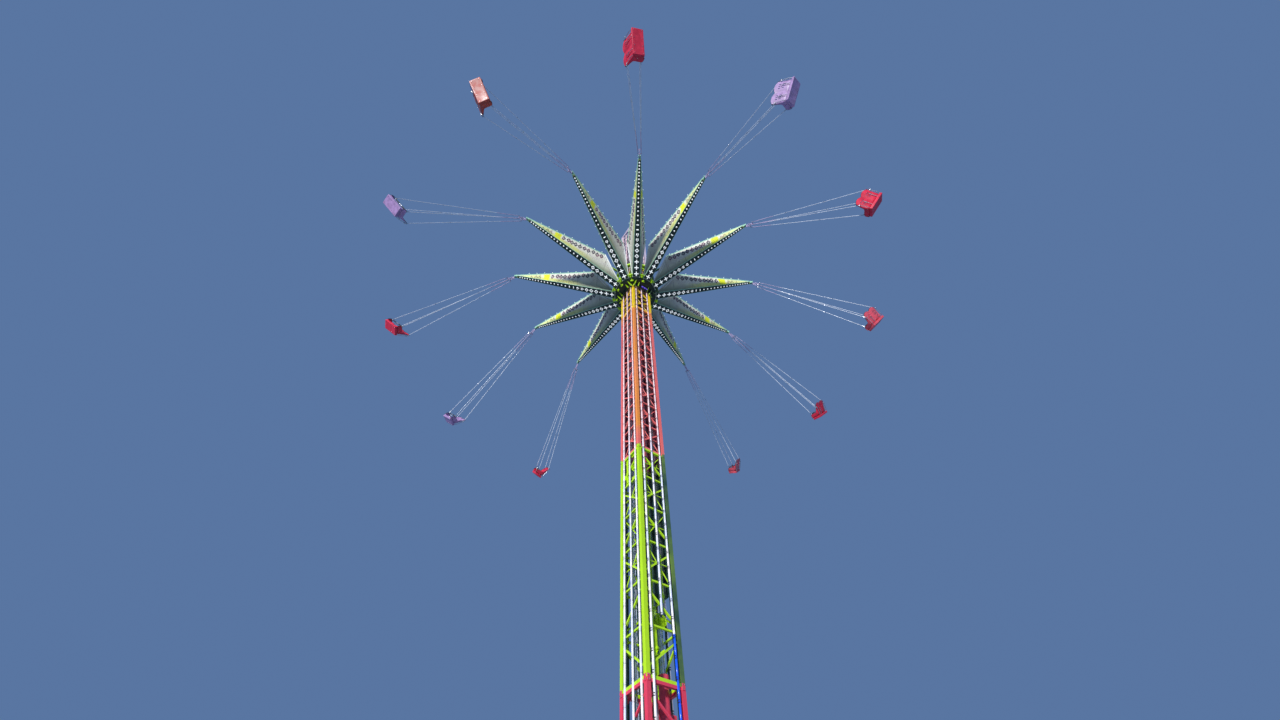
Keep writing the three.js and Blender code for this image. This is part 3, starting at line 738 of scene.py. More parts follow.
def towerFittings():
    # gusset plates where the bracing meets the posts, splice plates and bolts where modules meet
    look = {"plate": (0.13, 0.012, 0.17), "cornerCut": 0.045, "inset": 0.06, "margin": 0.02,
            "fromPost": 0.04, "post": 0.12, "beam": 0.08, "diagonal": 0.15, "splice": (0.09, 0.014, 0.16),
            "bolt": 0.012, "boltsAt": (0.024, 0.05), "lace": 0.017, "laceReach": 0.92, "laceInset": 0.075,
            "lacesFrom": 9.8}
    gusset = addBlock(look["plate"])
    openEdit(gusset)
    choose(gusset, "edges", lambda a, b: a.x > 0 and b.x > 0 and abs(a.z - b.z) < 1e-6)
    bpy.ops.mesh.bevel(offset=look["cornerCut"], segments=1)
    closeEdit()
    roundEdges(gusset, 0.002, 1)
    splice = addBlock(look["splice"], (0, 0, 0), 0.003)
    spliceFront = look["splice"][1] / 2
    boltX, boltZ = look["boltsAt"]
    spliceBolts = boltsAt("spliceBolts", look["bolt"], [
        at(x, -spliceFront, z) @ turnX(90) for x in (-boltX, boltX) for z in (-boltZ, boltZ)])
    for name in modules:
        low, high = moduleEnds[name]
        bays = round((high - low) / bayHigh)
        step = (high - low - look["beam"]) / bays
        margin = look["plate"][2] / 2 + look["margin"]
        edge = towerHalf - look["post"]
        # a thin cross through the middle of a bay
        endX, endZ = edge * look["laceReach"], step * look["laceReach"] / 2
        lace = joinAs("lace", [addTube((0, 0, 0), corner, look["lace"], 6) for corner in (
            (-edge, 0, 0), (edge, 0, 0), (endX, 0, -endZ), (-endX, 0, endZ))])
        plates, laces, splices, bolts = [], [], [], []
        for face in range(4):
            turned = turnZ(face * 90)
            for i in range(bays):
                z = low + look["beam"] / 2 + i * step
                lean = 1 if (i + face) % 2 == 0 else -1
                if z > look["lacesFrom"]:
                    spot = turned @ at(0, look["laceInset"] - towerHalf, z + step / 2)
                    laces.append(copyTo(lace, spot @ turnZ(0 if lean > 0 else 180)))
                spots = [(-1, max(z, low + margin)), (1, max(z, low + margin)),
                         (-lean, z + step * look["diagonal"]), (lean, z + step * (1 - look["diagonal"]))]
                if i == bays - 1:
                    spots += [(-1, high - margin), (1, high - margin)]
                for side, level in spots:
                    spot = turned @ at(side * (edge - look["fromPost"]), look["inset"] - towerHalf, level)
                    plates.append(copyTo(gusset, spot @ turnZ(180 if side > 0 else 0)))
            if name != modules[-1]:
                for side in (-1, 1):
                    spot = turned @ at(side * (towerHalf - look["post"] / 2), -towerHalf - spliceFront, high)
                    splices.append(copyTo(splice, spot))
                    bolts.append(copyTo(spliceBolts, spot))
        remove(lace)
        for kind, pieces in (("gussets", plates), ("laces", laces), ("splices", splices)):
            if pieces:
                rideOn(finished(f"{name}_{kind}", pieces, paints[name]), "root", f"{name}_paint")
        if bolts:
            rideOn(joinAs(f"{name}_splice_bolts", bolts), "root", "galvanised_steel")
    remove(gusset, splice, spliceBolts)


towerFittings()
print("tower fittings made")


def ladder():
    # ladder up the inside of the -X face, on brackets from the face's beams
    look = {"at": -0.33, "half": 0.19, "rail": 0.022, "rung": 0.012, "rungEvery": 0.3, "from": 0.3,
            "belowTop": 0.15, "bracket": (0.15, 0.03, 0.008), "bracketsFrom": 0.5}
    x, half, low, top = look["at"], look["half"], look["from"], towerTop - look["belowTop"]
    rails = [addTube((x, side * half, low), (x, side * half, top), look["rail"], 8, 0.004)
             for side in (-1, 1)]
    rung = addTube((x, -half, 0), (x, half, 0), look["rung"], 6)
    rungs = copies(rung, [at(0, 0, low + (i + 0.5) * look["rungEvery"])
                          for i in range(int((top - low) / look["rungEvery"]))])
    bracket = addBlock(look["bracket"], (x - look["bracket"][0] / 2, half, 0), 0.002)
    brackets = copies(bracket, [at(0, y, low + look["bracketsFrom"] + i * bayHigh)
                                for i in range(int((top - low) / bayHigh)) for y in (0, -2 * half)])
    rideOn(finished("inner_ladder", [*rails, *rungs, *brackets], galvanised), "root", "galvanised_steel")


def shadeSheetTrays():
    # shallow dark trays behind the +Y and the +X faces, each from its own height, with straps and black cables;
    # their sheets are painted shade that darkens the tower's inside
    look = {"turnsAndFeet": ((0, 15.2), (-90, 9.8)), "top": 30.6, "size": (0.74, 0.012), "sheet": 0.004,
            "at": 0.463, "lip": 0.02, "strap": (0.69, 0.008, 0.03), "strapsFrom": 0.6, "cable": 0.0084,
            "cablesAt": (-0.26, -0.2, 0.12, 0.19, 0.25), "cableEnds": 0.1, "strapIn": 0.006, "cableIn": 0.01}
    (wide, deep), back, top = look["size"], look["at"], look["top"]
    trays, cables = [], []
    for turn, low in look["turnsAndFeet"]:
        tall = top - low
        tray = addBlock((wide, look["sheet"], tall), (0, back, low + tall / 2))
        openEdit(tray)
        choose(tray, "faces", lambda middle, normal: normal.y < -0.9)
        bpy.ops.mesh.inset(thickness=look["lip"])
        choose(tray, "faces",
               lambda middle, normal: normal.y < -0.9 and abs(middle.x) > wide / 2 - look["lip"])
        bpy.ops.mesh.extrude_region_move(TRANSFORM_OT_translate={"value": (0, -deep, 0)})
        closeEdit()
        strap = addBlock(look["strap"], (0, back - look["strapIn"], 0), 0.002)
        straps = copies(strap, [at(0, 0, low + look["strapsFrom"] + i * bayHigh)
                                for i in range(int((tall - look["strapsFrom"]) / bayHigh))])
        foot, head = low + look["cableEnds"], top - look["cableEnds"]
        cableY = back - look["cableIn"]
        lines = [addTube((x, cableY, foot), (x, cableY, head), look["cable"], 8) for x in look["cablesAt"]]
        trays.append(moved(joinAs("tray", [tray, *straps]), turnZ(turn)))
        cables.append(moved(joinAs("cables", lines), turnZ(turn)))
    rideOn(finished("cable_trays", trays, channelPaint), "root")
    rideOn(finished("tray_cables", cables, blackRubber), "root")


def ramGuide():
    # light rail above the barrel with its ties to the face, and a hanger with four small pulleys
    look = {"rail": (0.035, 0.035, 7.2), "railX": 0.032, "railUp": 3.5, "tie": (0.02, 0.42, 0.05),
            "ties": 6, "tieAt": -0.2, "tiesFrom": 0.4, "hanger": (0.04, 0.012, 1.5),
            "hangerAt": (0.19, -0.29, 10.25), "pulleyAt": -0.26, "half": 0.016, "bore": 0.3,
            "axle": 0.34, "axleEnds": (-0.3, -0.235),
            "pulleys": ((9.72, 0.075), (10.05, 0.05), (10.42, 0.085), (10.8, 0.045))}
    rail = addBlock(look["rail"], (look["railX"], ramY, barrelHigh + look["railUp"]), 0.004)
    firstTie = barrelHigh + look["tiesFrom"]
    ties = [addBlock(look["tie"], (look["railX"], ramY + look["tieAt"], firstTie + i * bayHigh), 0.004)
            for i in range(look["ties"])]
    x, y, z = look["hangerAt"]
    pulleys = []
    for height, radius in look["pulleys"]:  # bore and axle are shares of the pulley's radius
        pulley = addRing(radius * look["bore"], radius, -look["half"], look["half"], 20, 0.004)
        pulleys.append(moved(pulley, at(x, ramY + look["pulleyAt"], height) @ turnX(90)))
        start, end = [(x, ramY + depth, height) for depth in look["axleEnds"]]
        pulleys.append(addTube(start, end, radius * look["axle"], 10, 0.004))
    hanger = addBlock(look["hanger"], (x, ramY + y, z), 0.003)
    rideOn(finished("ram_guide", [rail, *ties, *pulleys, hanger], paints["lime"]), "root", "lime_paint")


ladder()
shadeSheetTrays()
ramGuide()
print("tower's inside made")


def catchPlates():
    # stiff frame of plates under the top of the lime module, inside the +X and the -X faces
    look = {"low": 13.95, "high": 15.0, "inset": 0.095, "bars": (0.0, 0.42, 1.0),
            "bar": (0.88, 0.014, 0.11), "uprightAt": (0.24, -0.02), "slope": (0.07, 0.014, 0.62),
            "slopeAt": (0.11, 0.02, 0.7), "slopeTurn": 0.6, "claw": (0.06, 0.1, 0.2),
            "clawAt": (0.33, -0.03, 0.25)}
    low, span = look["low"], look["high"] - look["low"]
    _, thick, wide = look["bar"]
    parts = [addBlock(look["bar"], (0, 0, low + span * level), 0.003) for level in look["bars"]]
    for side in (-1, 1):
        x, y = look["uprightAt"]
        parts.append(addBlock((wide, thick, span), (side * x, y, low + span / 2), 0.003))
        x, y, level = look["slopeAt"]
        slope = addBlock(look["slope"], (0, y, 0), 0.003)
        lean = Matrix.Rotation(side * look["slopeTurn"], 4, "Y")
        parts.append(moved(slope, at(side * x, 0, low + span * level) @ lean))
        x, y, level = look["clawAt"]
        parts.append(addBlock(look["claw"], (side * x, y, low + span * level), 0.012, 2))
    places = [turnZ(90 * face) @ at(0, look["inset"] - towerHalf, 0) for face in (1, 3)]
    plates = copies(joinAs("plates", parts), places)
    rideOn(finished("catch_plates", plates, paints["lime"]), "root", "lime_paint")


catchPlates()
print("catch plates made")

wheelZ = (blockLow.z + blockHigh.z) / 2 + 0.01  # axle of the ropes' wheels in the ram's block
headAxleZ = towerTop + 0.19  # axles of the wheels on the tower's head
ramTop = at(ramX, ramY, barrelHigh)


def ramBarrel():
    # round skin of the barrel with its foot and collar, the gland on top, and the hose beside it
    look = {"foot": (0.19, 0.04), "bore": 0.0646, "barrel": 0.13, "collar": (0.148, 0.12),
            "glandBore": 0.067, "gland": (0.118, 0.018), "glandBolt": 0.012, "glandBolts": 12,
            "glandBoltAt": 0.095, "hose": (0.105, -0.02, 0.03), "hoseFrom": 0.5, "hoseBelow": 0.03,
            "overlap": 0.002}
    footRadius, footHigh = look["foot"]
    collarRadius, collarHigh = look["collar"]
    low, foot, neck = plateTop + restGap, plateTop + restGap + footHigh, barrelHigh - collarHigh
    barrel = [addTube((0, 0, low), (0, 0, foot), footRadius, 40, 0.004),
              addRing(look["bore"], look["barrel"], foot - look["overlap"], neck + look["overlap"], 48),
              addRing(look["bore"], collarRadius, neck, barrelHigh, 48, 0.006)]
    barrel = [moved(piece, at(ramX, ramY, 0)) for piece in barrel]
    rideOn(finished("ram_barrel_skin", barrel, ramPaint), "root", "red_paint", "ram_barrel")
    x, y, radius = look["hose"]
    hose = addTube((x, y, look["hoseFrom"]), (x, y, barrelHigh - look["hoseBelow"]), radius, 14, 0.006)
    rideOn(finished("ram_hose", [hose], hosePlastic, 40), "root")
    glandRadius, glandHigh = look["gland"]
    gland = moved(addRing(look["glandBore"], glandRadius, 0, glandHigh, 32, 0.006), ramTop)
    rideOn(finished("ram_gland", [gland], ramPaint), "root", "red_paint")
    every = 360 / look["glandBolts"]
    bolts = [ramTop @ at(0, 0, glandHigh) @ turnZ(every * i) @ at(look["glandBoltAt"], 0, 0)
             for i in range(look["glandBolts"])]
    rideOn(boltsAt("ram_gland_bolts", look["glandBolt"], bolts), "root", "galvanised_steel")


def ramClamps():
    # bands that hold the barrel to the tower, and the oil pipe at its foot
    look = {"from": 1.2, "every": 1.9, "count": 4, "band": (0.128, 0.142, 0.05), "ear": (0.016, 0.09),
            "earFrom": 0.13, "earTo": 0.51, "earOver": 0.01, "bolt": 0.016, "boltAt": (0.42, -0.008),
            "pipe": 0.022, "pipeReach": (-0.1, -0.24, 0.2), "pipeHigh": 0.3, "pipeLow": 0.03,
            "flange": (0.05, 0.025)}
    inner, outer, half = look["band"]
    boltX, boltY = look["boltAt"]
    clamps, bolts = [], []
    for i in range(look["count"]):
        z = look["from"] + i * look["every"]
        clamps.append(moved(addRing(inner, outer, -half, half, 32, 0.004), at(ramX, ramY, z)))
        earLong = look["earTo"] + look["earOver"] - ramX
        earMiddle = (look["earTo"] + ramX + look["earFrom"]) / 2
        clamps.append(addBlock((earLong, *look["ear"]), (earMiddle, ramY, z), 0.003))
        bolts.append(at(boltX, ramY + boltY, z) @ turnX(90))
    rideOn(finished("ram_clamps", clamps, paints["red"]), "root", "red_paint")
    rideOn(boltsAt("ram_clamp_bolts", look["bolt"], bolts), "root", "galvanised_steel")
    near, far, aside = look["pipeReach"]
    x, y, high = ramX + far, ramY + aside, look["pipeHigh"]
    flangeRadius, flangeHigh = look["flange"]
    low = plateTop + look["pipeLow"]
    pipe = addPath([(ramX + near, ramY, high), (x, ramY, high), (x, y, high), (x, y, low)],
                   look["pipe"], 10)
    flange = addTube((x, y, plateTop), (x, y, plateTop + flangeHigh), flangeRadius, 16, 0.004)
    rideOn(finished("ram_pipe", [*pipe, flange], galvanised), "root", "galvanised_steel")


def ramBlockTrim():
    # keeper plates on the block, and raised rims and hub caps on both sides of its wheel
    look = {"keeper": (0.11, 0.01, 0.05), "keeperAt": (0.09, 0.055), "rims": ((0.1, 0.116), (0.158, 0.186)),
            "rimHigh": 0.007, "rimAt": 0.06, "cap": (0.034, 0.062, 0.014), "capAt": 0.085, "belowTop": 0.19}
    out, up = look["keeperAt"]
    keepers = [addBlock(look["keeper"], (ramX, ramY + side * out, wheelZ + up), 0.003) for side in (-1, 1)]
    rideOn(finished("ram_block_keepers", keepers, galvanised), "ram", "galvanised_steel")
    capBore, capRadius, capHigh = look["cap"]
    rims = []
    for side in (-1, 1):
        rimPlace, capPlace = [aimed((ramX, ramY + side * y, blockHigh.z - look["belowTop"]), (0, side, 0))
                              for y in (look["rimAt"], look["capAt"])]
        rims += [moved(addRing(inner, outer, 0, look["rimHigh"], 40, 0.002), rimPlace)
                 for inner, outer in look["rims"]]
        rims.append(moved(addRing(capBore, capRadius, 0, capHigh, 28, 0.004), capPlace))
    rideOn(finished("ram_wheel_rims", rims, paints["lime"]), "ram", "lime_paint")


def liftRopes():
    # four ropes up to the head, which in the ride shorten as the block rises; here the falls stand still and only
    # their starts ride on the block itself
    look = {"radius": 0.012, "fallRadius": 0.01152, "fallAt": 0.17, "laneAt": 0.03, "startLong": 2.5}
    places = [(ramX + side * look["fallAt"], ramY + lane * look["laneAt"])
              for side in (-1, 1) for lane in (-1, 1)]
    falls = [addTube((x, y, wheelZ), (x, y, headAxleZ), look["fallRadius"], 8) for x, y in places]
    ropes = rideOn(finished("lift_ropes", falls, galvanised), "root", "galvanised_steel")
    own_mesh(ropes)
    starts = [addTube((x, y, wheelZ), (x, y, wheelZ + look["startLong"]), look["radius"], 8)
              for x, y in places]
    rideOn(finished("ram_rope_starts", starts, galvanised), "ram", "galvanised_steel")


ramBarrel()
ramClamps()
ramBlockTrim()
liftRopes()
print("ram made")


def headFittings():
    # bearing caps of the rope wheels, and bolts on the tower's head
    look = {"wheelsAt": (-0.13, 0.21), "bearersAt": (-0.17, 0.17), "cap": (0.068, 0.036),
            "capBolt": (0.05, 0.262), "bolt": 0.016, "cornerBolt": (0.51, 0.121), "cornerEvery": 0.09}
    radius, half = look["cap"]
    boltX, boltZ = look["capBolt"]
    caps, places = [], []
    for x in look["wheelsAt"]:
        for y in [ramY + bearer for bearer in look["bearersAt"]]:
            caps.append(addTube((x, y - half, headAxleZ), (x, y + half, headAxleZ), radius, 20, 0.006))
            places += [at(x + side * boltX, y, towerTop + boltZ) for side in (-1, 1)]
    rideOn(finished("head_bearings", caps, paints["yellow"]), "root", "yellow_paint")
    reach, up = look["cornerBolt"]
    places += [turnZ(90 * i) @ at(reach, reach - look["cornerEvery"] * j, towerTop + up)
               for i in range(4) for j in range(2)]
    rideOn(boltsAt("head_bolts", look["bolt"], places), "root", "galvanised_steel")


headFittings()
print("head made")


def baseFittings():
    # anchor bolts round the edge of the base plate, on square pads
    look = {"bolt": 0.034, "reach": 0.82, "spaces": 4, "pad": (0.11, 0.11, 0.012)}
    reach, padHigh = look["reach"], look["pad"][2]
    places = [turnZ(90 * face) @ at(-reach + 2 * reach * i / look["spaces"], -reach, plateTop + padHigh)
              for face in range(4) for i in range(look["spaces"])]
    pad = addBlock(look["pad"], (0, 0, -padHigh / 2), 0.002)
    rideOn(finished("anchor_pads", copies(pad, places), galvanised), "root", "galvanised_steel")
    rideOn(boltsAt("anchor_bolts", look["bolt"], places), "root", "galvanised_steel")


baseFittings()
print("base made")


def carriageRollers():
    # two rubber-tyred rollers at each end of each corner post's two faces
    look = {"roller": 0.075, "half": 0.05, "across": 0.51, "rim": 0.05, "shoulder": 0.006,
            "rimShoulder": 0.003, "fromEnds": 0.08, "nut": 0.02, "nutAt": 0.06}
    radius, half, rim = look["roller"], look["half"], look["rim"]
    out = towerHalf + restGap + radius
    levels = [carriageLow.z + look["fromEnds"], carriageHigh.z - look["fromEnds"]]
    tyreHalf, rimHalf = half - look["shoulder"], half - look["rimShoulder"]
    tyre = addRing(rim, radius, -tyreHalf, tyreHalf, 28, 0.006)
    wheel = addTube((0, 0, -rimHalf), (0, 0, rimHalf), rim, 20, 0.004)
    places = []
    for corner in range(4):
        for z in levels:
            places.append(turnZ(90 * corner) @ at(-look["across"], -out, z) @ turnY(90))
            places.append(turnZ(90 * corner) @ at(-out, -look["across"], z) @ turnX(90))
    rideOn(finished("roller_tyres", copies(tyre, places), blackRubber, 40), "carriage")
    rideOn(finished("roller_rims", copies(wheel, places), galvanised, 40), "carriage", "galvanised_steel")
    nuts = [place @ at(0, 0, side * look["nutAt"]) @ turnX(0 if side > 0 else 180)
            for place in places for side in (-1, 1)]
    rideOn(boltsAt("roller_axle_nuts", look["nut"], nuts), "carriage", "galvanised_steel")


def slewingDrives():
    # four upright gear motors, with cooling fins and a terminal box, on the carriage's round table
    look = {"at": 0.83, "gear": (0.09, 0.16), "motor": (0.068, 0.17, 0.4), "fin": (0.078, 0.19, 0.008),
            "fins": 10, "finEvery": 0.018, "box": (0.05, 0.08, 0.1), "boxAt": (-0.08, 0, 0.28)}
    radius, low, high = look["motor"]
    gear = addTube((0, 0, 0), (0, 0, look["gear"][1]), look["gear"][0], 24, 0.008)
    motor = addTube((0, 0, low), (0, 0, high), radius, 24, 0.008)
    radius, low, thick = look["fin"]
    levels = [low + i * look["finEvery"] for i in range(look["fins"])]
    fins = [addTube((0, 0, z), (0, 0, z + thick), radius, 24) for z in levels]
    drive = joinAs("drive", [gear, motor, *fins, addBlock(look["box"], look["boxAt"], 0.006, 2)])
    spots = [turnZ(90 * i) @ at(look["at"], 0.0, hubLow.z) for i in range(4)]
    rideOn(finished("slewing_drives", copies(drive, spots), mintPaint, 40), "carriage")


def tableFittings():
    # knee brackets, lugs with stubs, and purple lamps in their holders, all round under the table
    look = {"knee": (0.02, 0.2, 0.22), "kneeCut": 0.14, "kneesAt": (-0.52, -0.3, 0.3, 0.52),
            "kneeOut": 0.777, "kneeDown": 0.17, "lug": (0.16, 0.03, 0.14), "stub": (0.035, 0.02, 0.09),
            "lugOut": 1.03, "lugDown": 0.13, "lugTurns": (-135, -100, -80, -45, -10, 45, 90, 135),
            "lamp": (0.026, 0.05), "lampsAt": (-0.02, 0.13, 0.28), "lampOut": 0.72, "lampDown": 0.10,
            "holder": (0.13, 0.06, 0.02), "holderUp": 0.03}
    knee = addBlock(look["knee"], (0, 0, 0))
    openEdit(knee)
    choose(knee, "verts", lambda co: co.y < 0 and co.z < 0)
    shift(0, look["kneeCut"], 0)
    closeEdit()
    roundEdges(knee, 0.003, 1)
    spots = [turnZ(90 * face) @ at(x, -look["kneeOut"], hubLow.z - look["kneeDown"])
             for face in range(4) for x in look["kneesAt"]]
    rideOn(finished("table_knees", copies(knee, spots), paints["lime"]), "carriage", "lime_paint")
    radius, start, end = look["stub"]
    lug = joinAs("lug", [addBlock(look["lug"], (0, 0, 0), 0.02, 2),
                         addTube((0, -start, 0), (0, -end, 0), radius, 14, 0.006)])
    spots = [turnZ(turn) @ at(0, -look["lugOut"], hubLow.z - look["lugDown"]) for turn in look["lugTurns"]]
    rideOn(finished("table_lugs", copies(lug, spots), paints["lime"]), "carriage", "lime_paint")
    radius, half = look["lamp"]
    lamp = addTube((-half, 0, 0), (half, 0, 0), radius, 12, 0.006)
    holder = addBlock(look["holder"], (0, 0, look["holderUp"]), 0.003)
    spots = [turnZ(turn) @ at(x, -look["lampOut"], hubLow.z - look["lampDown"])
             for turn in (0, 180) for x in look["lampsAt"]]
    rideOn(finished("table_lamps", copies(lamp, spots), purpleLight), "carriage")
    rideOn(finished("table_lamp_holders", copies(holder, spots), galvanised), "carriage", "galvanised_steel")


carriageRollers()
slewingDrives()
tableFittings()
print("carriage made")

firstArm = math.degrees(armPlace(1).to_euler().z)
betweenArms = [turnZ(firstArm + armEvery * (i + 0.5)) for i in range(armCount)]
armNumbers = range(1, armCount + 1)


def hubPosts():
    # posts between the two rings on round shoes, with a brace from each to the foot of the next
    look = {"radius": 1.055, "post": 0.04, "brace": 0.024, "braceDown": 0.08, "braceUp": 0.05,
            "shoe": (0.064, 0.012), "shoeAt": 0.01}
    radius, low, high = look["radius"], hubHigh.z, upperLow
    shoeRadius, shoeHalf = look["shoe"]
    posts, braces, shoes = [], [], []
    for here, after in zip(betweenArms, betweenArms[1:] + betweenArms[:1]):
        foot, head = here @ Vector((radius, 0, low)), here @ Vector((radius, 0, high))
        posts.append(addTube(foot, head, look["post"], 12))
        braceFoot = after @ Vector((radius, 0, low + look["braceUp"]))
        braces.append(addTube(head - Vector((0, 0, look["braceDown"])), braceFoot, look["brace"], 8))
        for z in (low + look["shoeAt"], high - look["shoeAt"]):
            shoe = addTube((radius, 0, z - shoeHalf), (radius, 0, z + shoeHalf), shoeRadius, 16, 0.003)
            shoes.append(moved(shoe, here))
    rideOn(finished("hub_posts", posts + braces + shoes, paints["lime"]), "star", "lime_paint")


def hubClamps():
    # tapered clamps on the edge of the lower ring, each with a knob on both sides and a stub below
    look = {"size": (0.2, 0.12, 0.3), "at": 1.235, "down": 0.08, "taper": 0.09, "corner": 0.05,
            "knobAt": (1.27, -0.15), "knob": (0.045, 0.05, 0.105), "stubAt": 1.2,
            "stub": (0.04, -0.2, -0.3)}
    x, z = look["at"], hubHigh.z - look["down"]
    clamp = addBlock(look["size"], (x, 0, z))
    openEdit(clamp)
    choose(clamp, "verts", lambda co: co.x > x and co.z > z)
    shift(-look["taper"], 0, 0)
    choose(clamp, "edges", lambda a, b: a.x > x and b.x > x and a.z < z and b.z < z)
    bpy.ops.mesh.bevel(offset=look["corner"], segments=3)
    closeEdit()
    roundEdges(clamp, 0.006, 1)
    knobX, knobZ = look["knobAt"][0], hubHigh.z + look["knobAt"][1]
    radius, start, end = look["knob"]
    parts = [clamp]
    for side in (-1, 1):
        parts.append(addTube((knobX, side * start, knobZ), (knobX, side * end, knobZ), radius, 14, 0.006))
    x = look["stubAt"]
    radius, start, end = look["stub"]
    parts.append(addTube((x, 0, hubHigh.z + start), (x, 0, hubHigh.z + end), radius, 14, 0.006))
    clamps = copies(joinAs("clamp", parts), betweenArms)
    rideOn(finished("hub_clamps", clamps, paints["lime"]), "star", "lime_paint")


def hubBolts():
    # bolts down into the lower ring and up into the upper one
    look = {"count": 48, "bolt": 0.015, "lowerAt": 1.1, "upperAt": 1.012}
    every = 360 / look["count"]
    places = []
    for i in range(look["count"]):
        turned = turnZ(firstArm + (i + 0.5) * every)
        places.append(turned @ at(look["lowerAt"], 0, hubHigh.z))
        places.append(turned @ at(look["upperAt"], 0, upperLow) @ turnX(180))
    rideOn(boltsAt("hub_ring_bolts", look["bolt"], places), "star", "galvanised_steel")


def armFeet():
    # a shaped cheek plate with three bolts on each side of every arm's foot
    look = {"cheek": (0.26, 0.018, 0.36), "at": 1.24, "up": 0.19, "out": 0.203, "lowCut": (0.04, 0.07),
            "topCut": 0.12, "bolt": 0.024, "boltOut": 0.213,
            "boltsAt": ((-0.06, 0.12), (0.03, 0.16), (-0.06, 0.26))}
    x, foot = look["at"], hubLow.z - tipHeight
    z = foot + look["up"]
    cheek = addBlock(look["cheek"], (x, 0, z))
    openEdit(cheek)
    choose(cheek, "verts", lambda co: co.x > x and co.z < z)
    shift(-look["lowCut"][0], 0, look["lowCut"][1])
    choose(cheek, "verts", lambda co: co.x > x and co.z > z)
    shift(-look["topCut"], 0, 0)
    closeEdit()
    roundEdges(cheek, 0.004, 1)
    cheeks = copies(cheek, [armPlace(number) @ at(0, side * look["out"], 0)
                            for number in armNumbers for side in (-1, 1)])
    rideOn(finished("arm_foot_cheeks", cheeks, paints["lime"]), "star", "lime_paint")
    bolts = [armPlace(number) @ aimed((x + dx, side * look["boltOut"], foot + dz), (0, side, 0))
             for number in armNumbers for side in (-1, 1) for dx, dz in look["boltsAt"]]
    rideOn(boltsAt("arm_foot_bolts", look["bolt"], bolts), "star", "galvanised_steel")


hubPosts()
hubClamps()
hubBolts()
armFeet()
print("hub made")

# one arm is trimmed with +X along it and the pins' height at z = 0, and its trim is copied to the others
armToe, armHeel, armEnd, armEndTop = armShape.values()
underLong = math.hypot(armEnd[0] - armToe[0], armEnd[2] - armToe[2])
underSlope = math.degrees(math.atan2(armEnd[2] - armToe[2], armEnd[0] - armToe[0]))
underside = at(armToe[0], 0, armToe[2]) @ turnY(-underSlope)
stripThick = 0.014
forkTurn = math.degrees(chairPlace(1).to_euler().z - armPlace(1).to_euler().z)
fork = at(tipRadius, 0, 0) @ turnZ(forkTurn)
forkOut = 0.0562  # outer face of the fork's plates


def armStrip():
    # dark strip on the underside, as wide as the arm at both of its ends
    look = {"share": 0.985, "overhang": 0.004}
    strip = addBlock((underLong * look["share"], 1, stripThick), (underLong * 0.5, 0, -stripThick / 2))
    openEdit(strip)
    for atToe, half in ((True, armToe[1]), (False, armEnd[1])):
        choose(strip, "verts", lambda co: (co.x < underLong / 2) == atToe)
        bpy.ops.transform.resize(value=(1, 2 * (half + look["overhang"]), 1), center_override=(0, 0, 0))
    closeEdit()
    return finished("strip", [moved(roundEdges(strip, 0.004, 1), underside)], darkGreenPaint)


def armLamps():
    # lamp caps under the strip, in clusters that shrink and stand closer towards the tip
    look = {"order": ["plus"] * 3 + ["diamond"] * 3 + ["heart"] * 2 + ["pair"] * 2 + ["single"] * 16,
            "first": 0.19, "firstHalf": 0.165, "reach": 0.6, "singleGrow": 1.4, "space": 0.03,
            "pitch": 1.82, "cap": (0.029, 0.018)}
    groups = {  # places of the caps, as shares of the cluster's reach
        "plus": [(0, 0), (1, 0), (-1, 0), (0, 1), (0, -1), (0.5, 0), (-0.5, 0), (0, 0.5), (0, -0.5)],
        "diamond": [(1, 0), (-1, 0), (0, 1), (0, -1), (0.5, 0.5), (-0.5, 0.5), (0.5, -0.5), (-0.5, -0.5)],
        "heart": [(-0.8, 0), (-0.1, 0.6), (-0.1, -0.6), (0.6, 0.5), (0.6, -0.5)],
        "pair": [(0, 0.55), (0, -0.55), (0, 0)],
        "single": [(0, 0)],
    }
    radius, high = look["cap"]
    cap = addTube((0, 0, 0), (0, 0, -high), radius, 8, 0, radius * 0.6)
    spots = []
    along = look["first"]
    for kind in look["order"]:
        half = look["firstHalf"] + (armEnd[1] - look["firstHalf"]) * along / underLong
        reach = half * look["reach"]
        grow = look["singleGrow"] if kind == "single" else 1
        for dx, dy in groups[kind]:
            spots.append(underside @ at(along + dx * reach, dy * reach, -stripThick) @ Matrix.Scale(grow, 4))
        along += look["space"] + look["pitch"] * half
    return finished("lamps", copies(cap, spots), lampCap, 30)


def armPipes():
    # pipes on the edges, a truss across the open top, and bosses on the pin of the fork
    look = {"edge": 0.017, "edgeOut": 0.012, "top": 0.024, "truss": 0.014, "trussDown": 0.02, "bays": 9,
            "boss": (0.021, 0.042, 0.01)}
    pipes, bosses = [], []
    bore, radius, high = look["boss"]
    for side in (-1, 1):
        out = Vector((0, look["edgeOut"] * side, look["edgeOut"]))
        pipes.append(addTube(mirrored(armToe, side) + out, mirrored(armEnd, side) + out, look["edge"], 8))
        pipes.append(addTube(mirrored(armHeel, side), mirrored(armEndTop, side), look["top"], 10))
        boss = addRing(bore, radius, 0, high, 20, 0.002)
        bosses.append(moved(boss, fork @ aimed((0, side * forkOut, 0), (0, side, 0))))
    drop, bays = Vector((0, 0, look["trussDown"])), look["bays"]
    for i in range(bays):  # each bar leans the other way from the last one
        left = mirrored(armHeel, -1).lerp(mirrored(armEndTop, -1), (i + i % 2) / bays) - drop
        right = mirrored(armHeel, 1).lerp(mirrored(armEndTop, 1), (i + 1 - i % 2) / bays) - drop
        pipes.append(addTube(left, right, look["truss"], 8))
    pipes.append(addTube(mirrored(armHeel, -1), mirrored(armHeel, 1), look["top"], 10))
    return finished("pipes", pipes + bosses, mintPaint)


